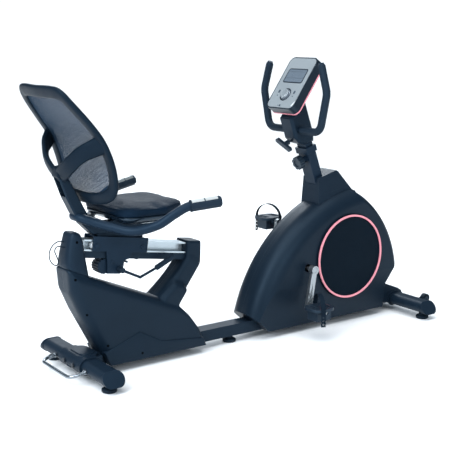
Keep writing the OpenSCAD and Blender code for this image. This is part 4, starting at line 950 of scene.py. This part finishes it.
def rounded_prism(outline, half, radii, steps=6):
    """An outline across the bike with each edge rounded by its own radius."""
    rings = []
    top = max(radii)
    levels = [half - top + top * math.sin(math.pi / 2 * k / steps) for k in range(steps + 1)]
    for y in [-q for q in reversed(levels)] + levels:
        ins = []
        for r in radii:
            e = max(0.0, abs(y) - (half - r))
            ins.append(r - math.sqrt(max(0.0, r * r - e * e)))
        rings.append([(q[0], y, q[1]) for q in push_edges(outline, ins)])
    return loft(rings)


def moulded(name, parts, mat, voxel, rounds):
    """Several closed solids merged into one soft-edged skin."""
    o = join_parts(name, parts, mat, None)
    bpy.context.view_layer.objects.active = o
    rm = o.modifiers.new("skin", "REMESH")
    rm.mode = "VOXEL"
    rm.voxel_size = voxel
    bpy.ops.object.modifier_apply(modifier=rm.name)
    sm = o.modifiers.new("relax", "SMOOTH")
    sm.factor = 0.5
    sm.iterations = rounds
    bpy.ops.object.modifier_apply(modifier=sm.name)
    for q in o.data.polygons:
        q.use_smooth = True
    return o


def along(line, t):
    """The point at a share t of the way along a flat line."""
    q = np.array(line, float)
    d = np.r_[0, np.cumsum(np.linalg.norm(np.diff(q, axis=0), axis=1))]
    return np.array([np.interp(t * d[-1], d, q[:, k]) for k in range(2)])


COVER_REAR = [(-62, 398), (-60, 432), (-49, 480), (-38, 521)]
COVER_FRONT = [(26, 360.5), (17, 430), (11, 484), (3, 516)]


def cover_ring(t, grow=0.0, power=3.4, sides=44):
    """One closed section of the column between its rear and front edges, t from the seam up to the top."""
    if t >= 0:
        a, b = along(COVER_REAR, t), along(COVER_FRONT, t)
    else:
        a = np.array(COVER_REAR[0]) + np.array([4.0, -60.0]) * -t
        b = np.array(COVER_FRONT[0]) + np.array([6.0, -60.0]) * -t
    half = 57 - 20 * min(1.0, max(0.0, t)) ** 0.8 - grow
    c, h = (a + b) / 2, (b - a) / 2
    h = h * (1 - grow / np.linalg.norm(h))
    out = []
    for q in superellipse(1.0, 1.0, power, sides):
        out.append((c[0] + h[0] * q[0], half * q[1], c[1] + h[1] * q[0]))
    return out


# outlines across the bike, each with its half width and the radii of its edges
body_outline = [(84, 32), (492, 32), (466, 100), (420, 163), (368, 213), (-62, 396), (-55, 310), (-24, 238)]
body = rounded_prism(body_outline, 68, [5, 9, 10, 12, 30, 30, 42, 42])
arm_a = rounded_prism([(250, 200), (300, 176), (380, 196), (478, 329), (489, 346), (440, 392), (396, 340)],
                      45,
                      [12, 12, 14, 14, 9, 16, 22])
arm_b = rounded_prism([(424, 350), (489, 346), (492, 430), (430, 438)], 42, [12, 9, 8, 10])
arm_c = rounded_prism([(262, 214), (300, 176), (380, 196), (424, 256), (404, 286), (362, 298)], 60,
                      [22, 12, 14, 22, 24, 30])
pedestal = loft([cover_ring(t, 0.6) for t in (-0.9, -0.6, -0.3, 0.012)])
shell = moulded("rear_shell_moulded", [body, arm_a, arm_b, arm_c, pedestal], M["shell"], 0.0038, 7)
for side, tag in [(-1, "right"), (1, "left")]:
    me = shell.data.copy()
    bm = bmesh.new()
    bm.from_mesh(me)
    bmesh.ops.bisect_plane(bm, geom=list(bm.verts) + list(bm.edges) + list(bm.faces), plane_co=(0, 0, 0),
                           plane_no=(0, -side, 0), clear_outer=True)
    bmesh.ops.holes_fill(bm, edges=[e for e in bm.edges if e.is_boundary], sides=0)
    bm.to_mesh(me)
    bm.free()
    half_shell = bpy.data.objects.new(f"rear_shell_skin_{tag}", me)
    coll.objects.link(half_shell)
    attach(half_shell, "frame")
    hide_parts(f"rear_shell_{tag}")
bpy.data.objects.remove(shell)
skirt = rounded_prism([(84, 32), (492, 32), (478, 66), (300, 86), (205, 138), (62, 84)], 71.2,
                      [3, 3, 3, 3, 3, 3], 3)
skirt_piece = join_parts("rear_skirt", [skirt], M["shell"], 32)
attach(skirt_piece, "frame")
COVER_LEVELS = [(-0.02, 3.5), (0.012, 2.2), (0.02, 0.6), (0.04, 0), (0.2, 0), (0.4, 0), (0.6, 0), (0.78, 0),
                (0.9, 0.3), (0.95, 1.8), (0.98, 4.5), (0.995, 9)]
cover_rings = [cover_ring(t, inset) for t, inset in COVER_LEVELS]
column = join_parts("column_cover_skin", [loft(cover_rings)], M["cover"], None)
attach(column, "frame")
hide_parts("column_cover")
# screw holes in both faces, set on the surface of the skins as near-black discs whose colour is painted shade
# inside the holes
HOLES = [("cover", -20, 488), ("shell", -42, 364), ("shell", 0, 232), ("shell", 76, 108), ("skirt", 212, 56)]
bpy.context.view_layer.update()
hole_v, hole_f = [], []
for skin, hx, hz in HOLES:
    for side, tag in [(-1, "right"), (1, "left")]:
        o = {"cover": column, "skirt": skirt_piece, "shell": bpy.data.objects[f"rear_shell_skin_{tag}"]}[skin]
        hit = BVHTree.FromObject(o, bpy.context.evaluated_depsgraph_get()).ray_cast(
            Vector(P(hx, side * 200, hz)), Vector((0, -side, 0)))
        if hit[0] is None:
            continue
        q = Vector(hit[1]).to_track_quat("Z", "Y")
        vv, ff = lathe([(0.0046, -0.001), (0.0046, 0.0003), (0.0040, 0.0006), (0.0034, 0.0003),
                        (0.00001, 0.0002)],
                       lambda a, b, h, hit=hit, q=q: tuple(hit[0] + q @ Vector((a, b, h))), 20)
        k = len(hole_v)
        hole_v += vv
        hole_f += [tuple(m_ + k for m_ in g) for g in ff]
shell_screws = mesh_object("shell_screw_hole_shade", hole_v, hole_f, M["hole"], 40)
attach(shell_screws, "frame")

# ---------------------------------------------------------------- foam on the handlebar

bar_x = MAST_FOOT[0] + BAR_AT[0] * math.cos(MAST_LEAN) - BAR_AT[1] * math.sin(MAST_LEAN)
bar_z = MAST_FOOT[1] + BAR_AT[0] * math.sin(MAST_LEAN) + BAR_AT[1] * math.cos(MAST_LEAN)
FOAM_R = 15
FOAM_END = 13.0
FOAM_LIP = 3
bar_path = rounded_path([(46, 0), (156, 0), (192, 151), (155, 262)], [0, 42, 60, 0], 14)
for side, tag in [(-1, "right"), (1, "left")]:
    pts = resample(np.array([(bar_x, side * q[0], bar_z + q[1]) for q in bar_path]), 3.0)
    d = np.r_[0, np.cumsum(np.linalg.norm(np.diff(pts, axis=0), axis=1))]
    keep = d[-1] - d >= FOAM_END
    line_pts = list(pts[keep])
    scales = []
    for t in d[keep]:
        lip = max(0.0, 1 - ((FOAM_LIP - t) / FOAM_LIP) ** 2)
        scales.append(0.94 + 0.06 * math.sqrt(lip) if t < FOAM_LIP else 1.0)
    # closer rings where the end rounds off
    last = pts[-1]
    u = (last - pts[-2]) / np.linalg.norm(last - pts[-2])
    for a in np.linspace(0.0, math.pi / 2, 10)[1:]:
        line_pts.append(last - u * FOAM_END * (1 - math.sin(a)))
        scales.append(max(0.02, math.cos(a)))
    foam = swept(f"foam_sleeve_{tag}", line_pts, superellipse(FOAM_R, FOAM_R, 2, 28), (1, 0, 0), M["foam"],
                 scales=scales, angle=None)
    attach(foam, "bars")
    if side == -1:
        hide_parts("foam_grips")

# ---------------------------------------------------------------- console

LCD_U = 32
DIAL_U = -54
lcd = slab(rounded_rect(57, 107, 5, cx=LCD_U), 0.1, 0.9, con, 0.3)
screen = join_parts("console_screen", [lcd], M["lcd"], 30)
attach(screen, "mast")
outer = rounded_rect(66, 116, 9, cx=LCD_U)
inner_rim = rounded_rect(57.6, 107.6, 5, cx=LCD_U)
bz_v, bz_f = [], []
m = len(outer)
for rim, h in [(outer, 0.4), (outer, 0.9), (inner_rim, 1.3), (inner_rim, 0.2)]:
    bz_v += [con(p[0], p[1], h) for p in rim]
for i in range(3):
    for k in range(m):
        q = (k + 1) % m
        bz_f.append((i * m + k, i * m + q, (i + 1) * m + q, (i + 1) * m + k))
bezel = join_parts("console_bezel", [(bz_v, bz_f)], M["console_black"], 30)
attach(bezel, "mast")
# windows of the display: plain bars, no lettering
bars = []
for u0, v0, w, h in [(51, 0, 2.0, 92), (22, 0, 1.0, 98), (36, -18, 20, 1.0), (36, 18, 20, 1.0),
                     (13, 0, 11, 1.0)]:
    bars.append(slab(rounded_rect(w, h, 0.45, 3, cx=u0, cy=v0), 0.85, 1.15, con, 0.1))
lcd_bars = join_parts("console_screen_bars", bars, M["key_grey"], 30)
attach(lcd_bars, "mast")
# ring in the face round the dial
ring_parts = [lathe([(23.3, 0.3), (23.3, 1.2), (24.0, 2.0), (26.0, 2.4), (27.6, 1.8), (28.2, 0.4)],
                    lambda a, b, h: con(DIAL_U + a, b, h), 64)]
dial_ring = join_parts("console_dial_ring", ring_parts, M["console_black"], 40)
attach(dial_ring, "mast")
# domed cap on the dial with a finger dimple
cap_profile = [(19.6, 7.6), (19.2, 8.6), (18.0, 9.3), (15.8, 9.5), (14.8, 9.0), (10.0, 8.6), (5.0, 8.4),
               (0.01, 8.3)]
dial_cap = join_parts("dial_cap", [lathe(cap_profile, lambda a, b, h: con(DIAL_U + a, b, h), 64),
                                   lathe([(1.9, 9.4), (1.7, 10.0), (0.01, 10.2)],
                                         lambda a, b, h: con(DIAL_U + 13.2 + a, b, h), 20)],
                      M["dial_face"], 50)
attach(dial_cap, "dial")
# small marks beside the keys
marks = []
for u0, v0, w, h in [(-60, 46, 4, 7), (-60, -46, 4, 7), (-104, 12, 3, 6)]:
    marks.append(slab(rounded_rect(w, h, 1.4, 4, cx=u0, cy=v0), 0.2, 0.9, con, 0.2))
key_marks = join_parts("console_marks", marks, M["key_grey"], 30)
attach(key_marks, "mast")
accent = join_parts("console_accent", [slab([(-102, -66), (-96, -68), (-84, -74), (-80, -77.5), (-92, -75),
                                             (-104, -69.5)], 0.2, 1.0, con, 0.2)], M["accent"], 30)
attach(accent, "mast")

bpy.context.view_layer.update()
